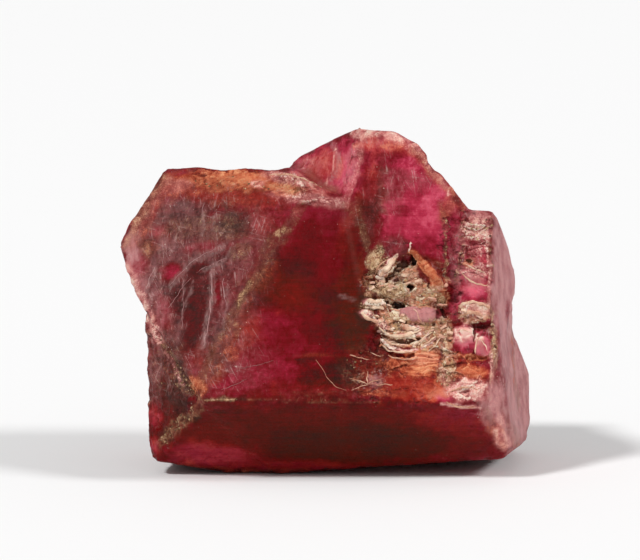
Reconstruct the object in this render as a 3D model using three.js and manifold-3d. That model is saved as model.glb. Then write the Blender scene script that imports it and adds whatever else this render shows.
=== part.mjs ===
// A rough red spinel: several crystals grown together into one stone, broken open at the front right.
// Millimetres, +Z up. The stone stands on its flat underside, and its front looks towards -Y.

import * as THREE from "three";
import { ConvexGeometry } from "three/addons/geometries/ConvexGeometry.js";
import { mergeVertices } from "three/addons/utils/BufferGeometryUtils.js";
import Module from "manifold-3d";

const wasm = await Module();
wasm.setup();

// ---------------------------------------------------------------- the crystals' flat faces

// Each crystal is the space inside its own flat faces. A face is [heading, tilt, reach]:
// heading is the compass direction it looks in, 0 towards -Y and 90 towards +X, in degrees,
// tilt is how far it looks up, in degrees, and reach is its distance from the crystal's centre.
const BODY = {
  centre: [0, 0, 15],
  faces: {
    front: [1, 24, 8.8],
    lowerFront: [0, -38, 14.2],
    upperLeft: [-30, 33, 10.7],
    leftUnder: [-96, -22, 16.4],
    leftHollow: [-92, -38, 13.2],
    leftShoulder: [-98, 31, 21.2],
    top: [180, 82, 14.5],
    topBevel: [-30, 60, 13.4],
    crestFall: [90, 67, 11.85],
    rightShoulder: [80, 50, 16.0],
    right: [80, 6, 18.1],
    rightEnd: [55, 1, 19.35],
    lowerRight: [77, -46, 22.5],
    back: [181, -24, 12.4],
    upperBack: [180, 38, 14.0],
    backRight: [128, 8, 15.5],
    backLeft: [-130, -6, 17.0],
  },
};

const FOOT = {
  centre: [-11, 0, 8],
  faces: {
    leftFront: [-54, 7, 7.7],
    front: [1, 24, 11.4],
    top: [0, 88, 7.5],
    left: [-95, -3, 5.95],
    lowerLeft: [-94, -31, 7.9],
    lowerFront: [0, -38, 9.6],
    upperLeft: [-30, 33, 9.4],
    right: [90, 0, 12.0],
    backRight: [140, -8, 8.3],
    backLeft: [-130, -5, 9.0],
    back: [178, -12, 10.6],
    under: [0, -90, 8.0],
  },
};

const CROWN = {
  centre: [8, 0, 20],
  faces: {
    front: [4, 15, 8.75],
    leftFront: [-40, 11, 8.57],
    left: [-56, 14, 9.0],
    topLeft: [-100, 64, 13.8],
    top: [150, 82, 12.6],
    topRight: [95, 68, 11.85],
    upperRight: [95, 38, 8.15],
    shoulder: [95, 30, 7.75],
    right: [95, 0, 6.0],
    back: [185, 6, 9.5],
    upperBack: [172, 45, 12.6],
    backLeft: [-130, 10, 13.5],
    under: [0, -88, 2.5],
  },
};

const RIGHT_PLATE = {
  centre: [16, 0, 14],
  faces: {
    front: [-5, 8, 10.0],
    left: [-85, 0, 3.6],
    right: [72, 2, 3.25],
    top: [150, 84, 11.4],
    topRight: [92, 42, 8.0],
    shoulder: [90, 22, 4.95],
    backRight: [116, 3, 1.9],
    upperBackRight: [108, 20, 3.8],
    lowerBackRight: [108, -18, 0.64],
    lowerFront: [0, -38, 13.0],
    lowerRight: [55, 1, 6.25],
    back: [180, 0, 8.0],
  },
};

const RIGHT_LOBE = {
  centre: [15, 3, 7.5],
  faces: {
    front: [69, 4, 5.3],
    right: [87, 0, 5.65],
    upperRight: [90, 22, 5.7],
    top: [80, 75, 6.0],
    lowerRight: [83, -18, 6.3],
    underRight: [76, -47, 7.3],
    frontLeft: [10, 0, 7.0],
    back: [165, 5, 7.0],
    backRight: [120, 0, 6.2],
    backLeft: [-150, -6, 6.4],
    left: [-88, 0, 9.0],
    under: [0, -90, 8.0],
  },
};

// A break is a sheet of small uneven facets that cuts into the crystals. Its spots say how deep
// it lies, in millimetres, below a face at [x, z], and a depth under 0 leaves the face whole.
// Its flakes are the facets' [width, height] and roughness is how far they stand up or sink.
// It comes in from the front where side is -1, and from the back where side is 1.
const FRONT_BREAK = {
  side: -1,
  x: [1.0, 18.2],
  z: [7.4, 26.2],
  step: 0.42,
  flake: [1.9, 0.75],
  roughness: 0.24,
  seed: 11,
  spots: [
    {
      on: [BODY, "front"],
      list: [
        // whole face to the left of the break
        [0.0, 14.0, -1.0], [2.0, 18.5, -0.8], [2.2, 15.5, -0.6], [3.4, 13.6, -0.3], [0.5, 9.0, -0.8],
        // pale lumps along its left side
        [3.9, 17.4, 0.0], [4.6, 18.9, 0.3], [4.4, 16.2, 0.1], [6.6, 18.9, -0.1], [6.8, 17.3, 0.9],
        // the smooth lilac plate, and thin plates stepping down below it
        [9.0, 16.3, 0.15], [11.4, 16.2, 1.0], [6.6, 15.3, 0.2], [8.8, 15.1, 0.5], [7.4, 14.3, 0.1],
        [9.6, 13.8, 0.2], [7.0, 13.4, 0.45], [5.2, 13.6, 0.7], [11.7, 13.6, 0.0], [7.4, 12.6, 0.3],
        // shallow breaks above the lower edge
        [10.0, 11.9, 0.35], [4.8, 12.0, 0.5], [2.4, 11.0, 0.2], [4.8, 9.4, 0.25], [7.2, 10.2, 0.1],
        [9.6, 9.4, 0.35], [11.4, 9.0, 0.1], [7.4, 7.6, -0.4], [12.0, 7.4, -0.3],
        // blocks below the right plate
        [13.2, 13.8, -0.15], [15.0, 13.2, -0.15], [14.6, 12.1, 0.6], [13.6, 10.9, 0.4],
        [13.4, 9.2, 0.0], [15.4, 10.4, 0.1], [16.6, 8.4, -0.3],
      ],
    },
    {
      on: [CROWN, "front"],
      list: [
        // whole face above the break
        [5.0, 24.0, -0.5], [7.2, 24.2, -0.5], [9.4, 22.6, -0.4], [10.9, 21.4, -0.3], [9.6, 25.5, -0.8],
        // the hollow under its broken edge
        [4.8, 21.6, 0.5], [6.6, 22.4, 0.5], [7.8, 21.2, 1.5], [9.8, 20.3, 0.8], [10.8, 18.8, 0.9],
        [6.2, 19.9, 1.4], [8.6, 19.4, 0.9],
        // the slot beside the right plate
        [12.2, 24.6, 0.3], [12.2, 22.4, 0.6], [12.3, 20.2, 0.8],
      ],
    },
    {
      on: [RIGHT_PLATE, "front"],
      list: [
        // the foot of the slot
        [12.6, 18.0, 1.9], [12.6, 16.6, 1.2],
        // down the plate: crust, hollows, a hole's rim and a thick crust again
        [14.8, 25.4, -0.1], [14.6, 24.4, 0.1], [13.5, 23.4, 0.15], [14.8, 22.6, 0.4],
        [14.0, 21.5, 0.7], [15.4, 21.4, 0.2], [14.9, 20.1, 0.8], [14.7, 18.6, 0.6],
        [14.2, 17.0, -0.3], [15.4, 16.4, -0.3], [14.8, 14.9, 0.9], [16.2, 19.0, 0.1],
      ],
    },
  ],
};

// The back is broken where the crown parts from the body.
const BACK_BREAK = {
  side: 1,
  x: [-6.0, 10.5],
  z: [18.5, 30.0],
  step: 0.9,
  flake: [2.6, 1.3],
  roughness: 0.32,
  seed: 22,
  spots: [
    {
      on: [BODY, "upperBack"],
      list: [
        // whole face around it
        [-6.0, 18.5, -2.5], [2.0, 18.5, -2.5], [10.5, 18.5, -2.5], [-6.0, 24.0, -2.5],
        [-6.0, 30.0, -2.5], [10.5, 24.0, -2.5],
        // the hollow
        [-2.6, 24.4, 0.3], [0.0, 22.6, 0.6], [1.4, 25.4, 1.0], [4.4, 23.4, 1.1], [6.8, 21.8, 0.4],
      ],
    },
    {
      on: [CROWN, "back"],
      list: [[2.6, 30.0, -2.0], [10.5, 30.0, -2.5], [7.4, 27.6, -0.6], [4.4, 26.6, 0.7]],
    },
  ],
};

// Rough faces: the whole of a face is broken up round a middle point, over a [width, height],
// to a depth, in flakes that stand up or sink by the roughness.
const ROUGH_FOOT = {
  face: "leftFront",
  middle: [-15, -6, 8],
  size: [12, 18],
  step: 0.62,
  flake: [1.2, 1.0],
  depth: 0.15,
  roughness: 0.28,
  seed: 21,
};

const ROUGH_CREST = {
  face: "topBevel",
  middle: [-8.5, -1.5, 28.5],
  size: [15, 7.5],
  step: 0.6,
  flake: [2.2, 1.0],
  depth: 0.3,
  roughness: 0.3,
  seed: 23,
};

const ROUGH_LOBE = {
  face: "backLeft",
  middle: [12, 9, 6],
  size: [14, 18],
  step: 1.0,
  flake: [2.4, 1.2],
  depth: 0.3,
  roughness: 0.35,
  seed: 24,
};

// Growth terraces: thin plates on a face, each smaller than the face and [rise, inset] from it.
const TERRACES = [
  { of: BODY, face: "upperBack", plates: [[0.45, 1.6], [0.8, 3.4]], seed: 31 },
  { of: BODY, face: "backLeft", plates: [[0.35, 1.4], [0.6, 3.0]], seed: 32 },
  { of: BODY, face: "top", plates: [[0.4, 1.8]], seed: 33 },
  { of: BODY, face: "leftUnder", plates: [[0.3, 1.2]], seed: 34 },
  { of: FOOT, face: "back", plates: [[0.4, 1.2], [0.7, 2.2]], seed: 35 },
  { of: CROWN, face: "back", plates: [[0.4, 1.0], [0.75, 2.2]], seed: 36 },
  { of: CROWN, face: "upperBack", plates: [[0.4, 1.2]], seed: 37 },
  { of: CROWN, face: "left", plates: [[0.25, 1.0]], seed: 38 },
];

// Worn edges: small shell-shaped chips, one in every few millimetres of each edge.
const EDGE_CHIP = { every: 9, length: 3.0, width: 1.1, depth: 0.4 };

// Small deep pits, each at [x, z] on a face, with its [width, height, depth].
const PITS = [
  { on: [CROWN, "front"], at: [8.4, 21.1], size: [1.0, 0.8, 2.4], turn: 0, sunk: 0 },
  { on: [CROWN, "front"], at: [8.2, 18.8], size: [0.9, 0.8, 2.6], turn: -30, sunk: 0 },
  { on: [RIGHT_PLATE, "front"], at: [14.0, 21.4], size: [0.7, 0.6, 1.9], turn: 0, sunk: 0 },
  { on: [BODY, "front"], at: [7.2, 17.2], size: [1.8, 0.7, 1.5], turn: 0, sunk: 0 },
];

// Splinters left standing in the break, and pale lumps along the crest and its ridges, each at
// [x, z] on a face, with its [width, height, thickness]. It is sunk into its face by so much.
const SPLINTERS = [
  { on: [CROWN, "front"], at: [6.0, 20.8], size: [3.0, 0.7, 0.9], turn: 47, sunk: 0.75 },
  { on: [CROWN, "front"], at: [10.3, 20.3], size: [3.9, 0.9, 0.6], turn: -48, sunk: 0.5 },
  { on: [BODY, "topBevel"], at: [-2.6, 28.2], size: [1.8, 1.2, 0.5], turn: 0, sunk: 0.1 },
  { on: [BODY, "front"], at: [-0.9, 26.8], size: [4.8, 0.9, 0.35], turn: 0, sunk: 0.1 },
  { on: [CROWN, "leftFront"], at: [2.6, 30.4], size: [1.0, 6.0, 0.3], turn: -14, sunk: 0.1 },
];
const SPLINTER_CORNERS = 7;

// Seeds of what is random, so that the stone is the same each time.
const SEED = { body: 1, foot: 2, crown: 3, rightPlate: 4, rightLobe: 5, pits: 12, splinters: 13 };

// Further out than any part of the stone.
const FAR_OUT = 40;

// The stone rests on a flat underside, which rises a little towards both ends.
const UNDERSIDE = {
  centre: [0, 0, 15],
  faces: {
    flat: [0, -90, 15],
    right: [33, -82.6, 15.17],
    left: [-60, -78, 17.0],
    sideRight: [90, 0, FAR_OUT],
    sideLeft: [-90, 0, FAR_OUT],
    front: [0, 0, FAR_OUT],
    back: [180, 0, FAR_OUT],
    above: [0, 90, FAR_OUT],
  },
};

// ---------------------------------------------------------------- helpers

const radians = THREE.MathUtils.degToRad;

// The way that a face with this heading and tilt looks.
function direction(heading, tilt) {
  const turn = radians(heading);
  const lift = radians(tilt);
  return new THREE.Vector3(
    Math.cos(lift) * Math.sin(turn),
    -Math.cos(lift) * Math.cos(turn),
    Math.sin(lift),
  );
}

// Numbers between 0 and 1 that look random and are the same each time: a linear congruential
// generator with the constants of Numerical Recipes.
function seeded(seed) {
  const range = 2 ** 32;
  let state = seed * 7919 + 13;
  return () => {
    state = (state * 1664525 + 1013904223) % range;
    return state / range;
  };
}

// A geometry with only its places, and with the points that lie together made one.
function welded(geometry) {
  const bare = geometry.clone();
  bare.deleteAttribute("normal");
  bare.deleteAttribute("uv");
  return mergeVertices(bare, 1e-4);
}

// A three.js geometry as a manifold-3d solid.
function solidOf(geometry) {
  const closed = welded(geometry);
  return new wasm.Manifold(
    new wasm.Mesh({
      numProp: 3,
      vertProperties: new Float32Array(closed.attributes.position.array),
      triVerts: new Uint32Array(closed.index.array),
    }),
  );
}

// The point where three face planes meet, or null where two of them are all but parallel.
function meeting(a, b, c) {
  const normals = new THREE.Matrix3().set(
    a.normal.x, a.normal.y, a.normal.z,
    b.normal.x, b.normal.y, b.normal.z,
    c.normal.x, c.normal.y, c.normal.z,
  );
  const parallel = Math.abs(normals.determinant()) < 1e-4;
  return parallel ? null : new THREE.Vector3(a.reach, b.reach, c.reach).applyMatrix3(normals.invert());
}

// The corners of a crystal, each with the three faces that meet there.
function cornersOf({ centre, faces }) {
  const planes = Object.values(faces).map(([heading, tilt, reach]) => ({
    normal: direction(heading, tilt),
    reach,
  }));
  const middle = new THREE.Vector3(...centre);
  const within = (point) => planes.every(({ normal, reach }) => normal.dot(point) <= reach + 1e-6);
  const corners = [];
  planes.forEach((a, i) =>
    planes.slice(i + 1).forEach((b, j) =>
      planes.slice(i + j + 2).forEach((c) => {
        const point = meeting(a, b, c);
        if (point && within(point)) {
          corners.push({ point: point.add(middle), planes: [a, b, c] });
        }
      }),
    ),
  );
  return corners;
}

// The convex crystal inside all of its faces.
function crystal(habit) {
  return solidOf(new ConvexGeometry(cornersOf(habit).map(({ point }) => point)));
}

// The edges of a crystal: where two corners share two faces.
function edgesOf(habit) {
  const corners = cornersOf(habit);
  const edges = [];
  corners.forEach((from, i) =>
    corners.slice(i + 1).forEach((to) => {
      const shared = from.planes.filter((plane) => to.planes.includes(plane));
      if (shared.length === 2) {
        const outward = shared[0].normal.clone().add(shared[1].normal).normalize();
        edges.push({ from: from.point, to: to.point, outward });
      }
    }),
  );
  return edges;
}

// The spot of a crystal's face at an x and a z, and the way the face looks.
function spotOn([habit, face], [x, z]) {
  const [heading, tilt, reach] = habit.faces[face];
  const outward = direction(heading, tilt);
  const [cx, cy, cz] = habit.centre;
  const y = cy + (reach - outward.x * (x - cx) - outward.z * (z - cz)) / outward.y;
  return { point: new THREE.Vector3(x, y, z), outward };
}

// The two ways to go on a face: level, and up its slope.
function alongFace(outward) {
  const across = new THREE.Vector3(-outward.y, outward.x, 0).normalize();
  return { across, up: new THREE.Vector3().crossVectors(outward, across) };
}

// Turns and moves a shape made about the origin, with its width along X, its height along Y
// and its outer side towards Z, so that it lies on a face.
function laidOn(geometry, { on, at, turn, sunk }) {
  const { point, outward } = spotOn(on, at);
  const { across, up } = alongFace(outward);
  const frame = new THREE.Matrix4().makeBasis(across, up, outward);
  point.addScaledVector(outward, -sunk);
  return geometry.rotateZ(radians(turn)).applyMatrix4(frame).translate(point.x, point.y, point.z);
}

// A ball with an uneven surface, squeezed to a width and a height, and to a depth below its middle.
function roughBall([width, height, depth], random, detail = 1) {
  const ball = welded(new THREE.IcosahedronGeometry(1, detail));
  const place = ball.attributes.position;
  for (let i = 0; i < place.count; i++) {
    const stretch = 0.86 + 0.28 * random();
    place.setXYZ(i, place.getX(i) * stretch, place.getY(i) * stretch, place.getZ(i) * stretch);
  }
  return ball.scale(width / 2, height / 2, depth);
}

// A thin splinter with an uneven outline, a little narrower on top than below.
function splinter([width, height, thickness], random) {
  const corners = [];
  for (let i = 0; i < SPLINTER_CORNERS; i++) {
    const angle = ((i + 0.5 * random()) / SPLINTER_CORNERS) * 2 * Math.PI;
    const out = 0.75 + 0.25 * random();
    const x = Math.cos(angle) * out * (width / 2);
    const y = Math.sin(angle) * out * (height / 2);
    corners.push(new THREE.Vector3(x, y, -thickness));
    corners.push(new THREE.Vector3(x * 0.8, y * 0.8, thickness * (0.6 + 0.4 * random())));
  }
  return new ConvexGeometry(corners);
}

// ---------------------------------------------------------------- relief

// A crystal with chips knocked out of its edges.
function wornCrystal(habit, seed) {
  const random = seeded(seed);
  let solid = crystal(habit);
  for (const { from, to, outward } of edgesOf(habit)) {
    const chips = Math.floor(from.distanceTo(to) / EDGE_CHIP.every);
    const along = to.clone().sub(from).normalize();
    const side = new THREE.Vector3().crossVectors(outward, along);
    const frame = new THREE.Matrix4().makeBasis(along, side, outward);
    for (let i = 0; i < chips; i++) {
      const point = from.clone().lerp(to, (i + 0.2 + 0.6 * random()) / chips);
      const size = 0.5 + 0.9 * random() ** 2;
      const extent = [EDGE_CHIP.length, EDGE_CHIP.width, EDGE_CHIP.depth].map((full) => full * size);
      const chip = roughBall(extent, random, 0).applyMatrix4(frame);
      solid = solid.subtract(solidOf(chip.translate(point.x, point.y, point.z)));
    }
  }
  return solid;
}

// How far each place of a broken surface stands up or sinks: it is laid out in flakes, and every
// flake has its own height and its own tilt, so its edges are small steps.
function flakeField([x, z], flake, roughness, random) {
  const flakes = [];
  for (let fx = x[0]; fx < x[1]; fx += flake[0]) {
    for (let fz = z[0]; fz < z[1]; fz += flake[1]) {
      flakes.push({
        x: fx + flake[0] * random(),
        z: fz + flake[1] * random(),
        rise: (random() - 0.5) * 2 * roughness,
        lean: (random() - 0.35) * roughness,
        turn: (random() - 0.5) * roughness,
      });
    }
  }
  return (px, pz) => {
    const gap = (f) => ((px - f.x) / flake[0]) ** 2 + ((pz - f.z) / flake[1]) ** 2;
    const own = flakes.reduce((best, f) => (gap(f) < gap(best) ? f : best));
    return own.rise + own.turn * (px - own.x) + own.lean * (pz - own.z);
  };
}

// The solid that a break takes away: a box that reaches far out, and whose inner side, a grid of
// closely set points, is shaped to the depth that is asked for at each x and z.
function sheetSolid([x, z], step, side, random, depthAt) {
  const across = Math.round((x[1] - x[0]) / step);
  const up = Math.round((z[1] - z[0]) / step);
  const box = welded(new THREE.BoxGeometry(x[1] - x[0], FAR_OUT, z[1] - z[0], across, 1, up));
  box.translate((x[0] + x[1]) / 2, (side * FAR_OUT) / 2, (z[0] + z[1]) / 2);
  const place = box.attributes.position;
  const inside = (value, [low, high]) => value > low + step / 2 && value < high - step / 2;
  for (let i = 0; i < place.count; i++) {
    const innerSide = Math.abs(place.getY(i)) < 1;
    if (innerSide) {
      const loose = inside(place.getX(i), x) && inside(place.getZ(i), z) ? step / 2 : 0;
      const px = place.getX(i) + loose * (random() - 0.5);
      const pz = place.getZ(i) + loose * (random() - 0.5);
      place.setXYZ(i, px, -side * depthAt(px, pz), pz);
    }
  }
  return box;
}

// A break whose sheet runs smoothly from spot to spot, each place being drawn to the spots by
// how near they are, with flakes on top.
function breakSolid({ side, x, z, step, flake, roughness, seed, spots }) {
  const random = seeded(seed);
  const uneven = flakeField([x, z], flake, roughness, random);
  const marks = spots.flatMap(({ on, list }) => list.map(([sx, sz, depth]) => ({ on, sx, sz, depth })));
  const depthAt = (px, pz) => {
    let total = 0;
    let sheet = 0;
    for (const { on, sx, sz, depth } of marks) {
      const weight = 1 / (((px - sx) ** 2 + (pz - sz) ** 2) ** 2 + 0.02);
      sheet += weight * (depth - side * spotOn(on, [px, pz]).point.y);
      total += weight;
    }
    return sheet / total + uneven(px, pz);
  };
  return solidOf(sheetSolid([x, z], step, side, random, depthAt));
}

// A crystal with one of its faces broken up: the same kind of sheet, laid on that face.
function roughened(solid, habit, { face, middle, size, step, flake, depth, roughness, seed }) {
  const random = seeded(seed);
  const [heading, tilt, reach] = habit.faces[face];
  const outward = direction(heading, tilt);
  const { across, up } = alongFace(outward);
  const point = new THREE.Vector3(...middle);
  const height = point.clone().sub(new THREE.Vector3(...habit.centre)).dot(outward) - reach;
  point.addScaledVector(outward, -height);
  const [halfWidth, halfHeight] = [size[0] / 2, size[1] / 2];
  const area = [[-halfWidth, halfWidth], [-halfHeight, halfHeight]];
  const uneven = flakeField(area, flake, roughness, random);
  const border = (px, pz) => Math.min(halfWidth - Math.abs(px), halfHeight - Math.abs(pz));
  const depthAt = (px, pz) => Math.min(depth, border(px, pz) - 0.5) + uneven(px, pz);
  const sheet = sheetSolid(area, step, -1, random, depthAt);
  const frame = new THREE.Matrix4().makeBasis(across, outward.clone().negate(), up);
  return solid.subtract(solidOf(sheet.applyMatrix4(frame).translate(point.x, point.y, point.z)));
}

function pitted(solid, pits, seed) {
  const random = seeded(seed);
  return pits.reduce((left, pit) => {
    const hollow = laidOn(roughBall(pit.size, random), pit);
    return left.subtract(solidOf(hollow));
  }, solid);
}

function splintered(solid, splinters, seed) {
  const random = seeded(seed);
  return splinters.reduce((grown, piece) => {
    const lump = laidOn(splinter(piece.size, random), piece);
    return grown.add(solidOf(lump));
  }, solid);
}

// A terrace is the crystal over again, with one face grown out and the others drawn in.
function terraced(solid, { of, face, plates, seed }) {
  const random = seeded(seed);
  return plates.reduce((grown, [rise, inset]) => {
    const faces = Object.fromEntries(
      Object.entries(of.faces).map(([name, [heading, tilt, reach]]) => [
        name,
        [heading, tilt, name === face ? reach + rise : reach - inset * (0.5 + random())],
      ]),
    );
    return grown.add(crystal({ centre: of.centre, faces }));
  }, solid);
}

// ---------------------------------------------------------------- the stone

const crystals = [
  roughened(wornCrystal(BODY, SEED.body), BODY, ROUGH_CREST),
  roughened(wornCrystal(FOOT, SEED.foot), FOOT, ROUGH_FOOT),
  wornCrystal(CROWN, SEED.crown),
  wornCrystal(RIGHT_PLATE, SEED.rightPlate),
  roughened(wornCrystal(RIGHT_LOBE, SEED.rightLobe), RIGHT_LOBE, ROUGH_LOBE),
];
const grownTogether = crystals.reduce((grown, next) => grown.add(next));
const whole = TERRACES.reduce(terraced, grownTogether);
const broken = whole.subtract(breakSolid(FRONT_BREAK)).subtract(breakSolid(BACK_BREAK));
const detailed = splintered(pitted(broken, PITS, SEED.pits), SPLINTERS, SEED.splinters);
const stone = detailed.intersect(crystal(UNDERSIDE));

// A manifold-3d solid as a three.js geometry.
function geometryOf(solid) {
  const { vertProperties, triVerts } = solid.getMesh();
  const geometry = new THREE.BufferGeometry();
  geometry.setAttribute("position", new THREE.BufferAttribute(new Float32Array(vertProperties), 3));
  geometry.setIndex(new THREE.BufferAttribute(new Uint32Array(triVerts), 1));
  return geometry;
}

// The stone's own frame starts at the middle of the bottom of its box.
function standing(geometry) {
  geometry.computeBoundingBox();
  const { min, max } = geometry.boundingBox;
  return geometry.translate(-(min.x + max.x) / 2, -(min.y + max.y) / 2, -min.z);
}

const spinel = new THREE.MeshStandardMaterial({ color: 0x7a1226, roughness: 0.35, metalness: 0 });
const mesh = new THREE.Mesh(standing(geometryOf(stone)), spinel);
mesh.name = "spinel_crystal";

const group = new THREE.Group();
group.add(mesh);
export default group;
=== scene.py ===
# %% [markdown]
# # A rough red spinel
# The stone is several crystals that grew into each other, broken open at the front right. The frame
# holds them as one plain solid. This lesson gives that solid the skin of a real stone: worn edges,
# broken flakes, crumbs of the marble it grew in, and a colour that changes from face to face.
# Everything is in metres, +Z up, and the front looks towards -Y.

# %% Loading the frame
import math

import bmesh
import bpy
import numpy as np
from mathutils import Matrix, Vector, noise
from mathutils.bvhtree import BVHTree


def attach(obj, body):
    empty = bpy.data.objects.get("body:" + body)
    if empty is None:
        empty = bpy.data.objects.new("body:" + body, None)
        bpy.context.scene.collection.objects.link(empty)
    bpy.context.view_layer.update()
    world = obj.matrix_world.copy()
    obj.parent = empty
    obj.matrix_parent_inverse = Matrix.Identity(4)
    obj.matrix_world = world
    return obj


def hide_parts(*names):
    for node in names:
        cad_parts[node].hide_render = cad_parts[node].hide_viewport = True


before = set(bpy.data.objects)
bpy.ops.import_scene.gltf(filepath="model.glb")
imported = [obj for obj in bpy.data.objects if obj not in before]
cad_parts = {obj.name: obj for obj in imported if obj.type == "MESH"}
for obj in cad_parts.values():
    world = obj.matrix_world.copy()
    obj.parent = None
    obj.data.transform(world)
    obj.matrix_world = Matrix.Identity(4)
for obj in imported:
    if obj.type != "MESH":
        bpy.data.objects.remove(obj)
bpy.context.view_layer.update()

MM = 0.001

# %% [markdown]
# ## The camera
# The stone is looked at from a little above, with a long lens, so that it shows almost no
# perspective. A shorter lens from nearby would swell the front faces. The camera comes first
# because the colours are laid out as they are seen from the front.

# %% The camera
VIEW = {"target": (-0.7444 * MM, -1.1837 * MM, 18.6 * MM), "elevation": 6.0, "distance": 0.3}
LENS = {"focal": 168.75, "sensor": 36.0}


def make_camera():
    """A camera on the stone's front side, tipped down by the view's elevation."""
    tip = math.radians(VIEW["elevation"])
    target = Vector(VIEW["target"])
    data = bpy.data.cameras.new("camera")
    data.lens = LENS["focal"]
    data.sensor_width = LENS["sensor"]
    data.clip_start = 0.01
    data.clip_end = 20.0
    camera = bpy.data.objects.new("camera", data)
    camera.location = target + Vector((0, -math.cos(tip), math.sin(tip))) * VIEW["distance"]
    camera.rotation_euler = (math.radians(90) - tip, 0, 0)
    bpy.context.scene.collection.objects.link(camera)
    bpy.context.scene.camera = camera
    return camera


print("camera at", tuple(round(c, 3) for c in make_camera().location))

# %% [markdown]
# ## A skin of small even faces
# The frame's solid has a few large flat triangles and many slivers, and nothing fine can be pressed
# into those. A voxel remesh covers the same form with even quads. It rounds every corner by about a
# voxel, so each new point is then put back on the nearest spot of the solid. Where the stone is
# broken the quads are cut twice more, because the flakes there are a tenth of a millimetre thick.
# Cutting everything as finely would cost a million faces for nothing.

# %% Closing the solid's loose triangles
STONE = "spinel_crystal"
FLAT_PATCH = 2.0  # square millimetres: a flat patch smaller than this is part of a break
SAME_PLANE = 0.08  # millimetres: flat triangles this near to one plane are one patch


def closed_solid(node):
    """The node's triangles with their shared corners merged."""
    solid = bmesh.new()
    solid.from_mesh(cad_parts[node].data)
    bmesh.ops.remove_doubles(solid, verts=solid.verts, dist=1e-7)
    solid.faces.ensure_lookup_table()
    return solid


def patch_areas(solid):
    """For each triangle, the area in square millimetres of all the triangles in its plane."""
    patches = {}
    keys = []
    for face in solid.faces:
        offset = face.normal.dot(face.calc_center_median()) / MM
        key = (*(round(c, 2) for c in face.normal), round(offset / SAME_PLANE))
        patches[key] = patches.get(key, 0.0) + face.calc_area() / MM**2
        keys.append(key)
    return np.array([patches[key] for key in keys])


solid = closed_solid(STONE)
solid_tree = BVHTree.FromBMesh(solid)
patch_area = patch_areas(solid)
print("triangles:", len(solid.faces), "in flat patches:", int((patch_area > FLAT_PATCH).sum()))


# %% Covering it with even quads
VOXEL = 0.34 * MM


def remeshed(solid, voxel):
    """A mesh of even quads round the solid."""
    rough = bpy.data.meshes.new("rough")
    solid.to_mesh(rough)
    piece = bpy.data.objects.new("rough", rough)
    bpy.context.scene.collection.objects.link(piece)
    cover = piece.modifiers.new("cover", "REMESH")
    cover.mode = "VOXEL"
    cover.voxel_size = voxel
    ready = piece.evaluated_get(bpy.context.evaluated_depsgraph_get())
    skin = bpy.data.meshes.new_from_object(ready)
    bpy.data.objects.remove(piece)
    bpy.data.meshes.remove(rough)
    return skin


def nearest(points):
    """For each point, the nearest spot of the solid and the triangle that it lies on."""
    found = [solid_tree.find_nearest(Vector(p)) for p in points]
    return np.array([f[0] for f in found]), np.array([f[2] for f in found])


def seen_from_front(points):
    """How far across and up each point is seen from the camera, in mm from the view's middle."""
    tip = math.radians(VIEW["elevation"])
    away = points - np.array(VIEW["target"])
    depth = away[:, 1] * math.cos(tip) - away[:, 2] * math.sin(tip)
    up = away[:, 1] * math.sin(tip) + away[:, 2] * math.cos(tip)
    nearness = VIEW["distance"] / (VIEW["distance"] + depth)
    return away[:, 0] * nearness / MM, up * nearness / MM


skin = remeshed(solid, VOXEL)
print("quads:", len(skin.polygons))

# %% Cutting the quads finer where the stone is broken
BREAK_VIEW = {"across": (3.0, 17.6), "up": (-12.6, 7.4)}  # the broken place, as seen from the front
ROUGH_VIEWS = {
    "crest": {"across": (-16.0, 4.6), "up": (6.6, 15.0)},
    "foot": {"across": (-18.0, -11.0), "up": (-19.0, -3.0)},
}
TURNED_AWAY = 0.35  # a face whose normal points so far back isn't seen from the front


def in_view(points, window):
    """Which points lie in a window of the front view."""
    across, up = seen_from_front(points)
    low, high = zip(window["across"], window["up"])
    return (across > low[0]) & (across < high[0]) & (up > low[1]) & (up < high[1])


def cut_finer(mesh, windows):
    """Cuts in four each quad of the front that lies in one of the windows and on a broken place."""
    work = bmesh.new()
    work.from_mesh(mesh)
    faces = list(work.faces)
    centres = np.array([face.calc_center_median() for face in faces])
    looks_front = np.array([face.normal.y for face in faces]) < TURNED_AWAY
    wanted = looks_front & np.any([in_view(centres, window) for window in windows], axis=0)
    candidates = np.flatnonzero(wanted)
    _, triangles = nearest(centres[candidates])
    chosen = candidates[patch_area[triangles] < FLAT_PATCH]
    edges = {edge for i in chosen for edge in faces[i].edges}
    bmesh.ops.subdivide_edges(work, edges=list(edges), cuts=1, use_grid_fill=True)
    work.to_mesh(mesh)
    work.free()
    return len(chosen)


print("cut once:", cut_finer(skin, [BREAK_VIEW, *ROUGH_VIEWS.values()]))
print("cut again:", cut_finer(skin, [BREAK_VIEW]))
print("faces now:", len(skin.polygons))

# %% [markdown]
# ## Which places are flat, sharp or broken
# Wear, flakes and dirt each keep to their own kind of place. Painting those places by hand would
# have to be done again after every change of shape, so they are measured: a point is on a crystal
# face where its nearest triangle lies in a large flat patch, and it is on a ridge or in a hollow
# where it stands out from, or lies below, the average of its neighbours.

# %% Putting the points back on the solid
def column(items, name, size):
    """One property of all the points, edges or faces of a mesh, as an array."""
    values = np.zeros(len(items) * size, np.int32 if name == "vertices" else np.float32)
    items.foreach_get(name, values)
    return values.reshape(-1, size) if size > 1 else values


def softened(values, links, times=1):
    """Each point's value averaged with its neighbours', so many times over."""
    count = np.bincount(links.ravel(), minlength=len(values)) + 1.0
    ends = np.concatenate([links, links[:, ::-1]])
    for _ in range(times):
        flat = values.reshape(len(values), -1)
        sums = [np.bincount(ends[:, 0], part[ends[:, 1]], len(flat)) for part in flat.T]
        values = ((flat + np.stack(sums, 1)) / count[:, None]).reshape(values.shape)
    return values


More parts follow.
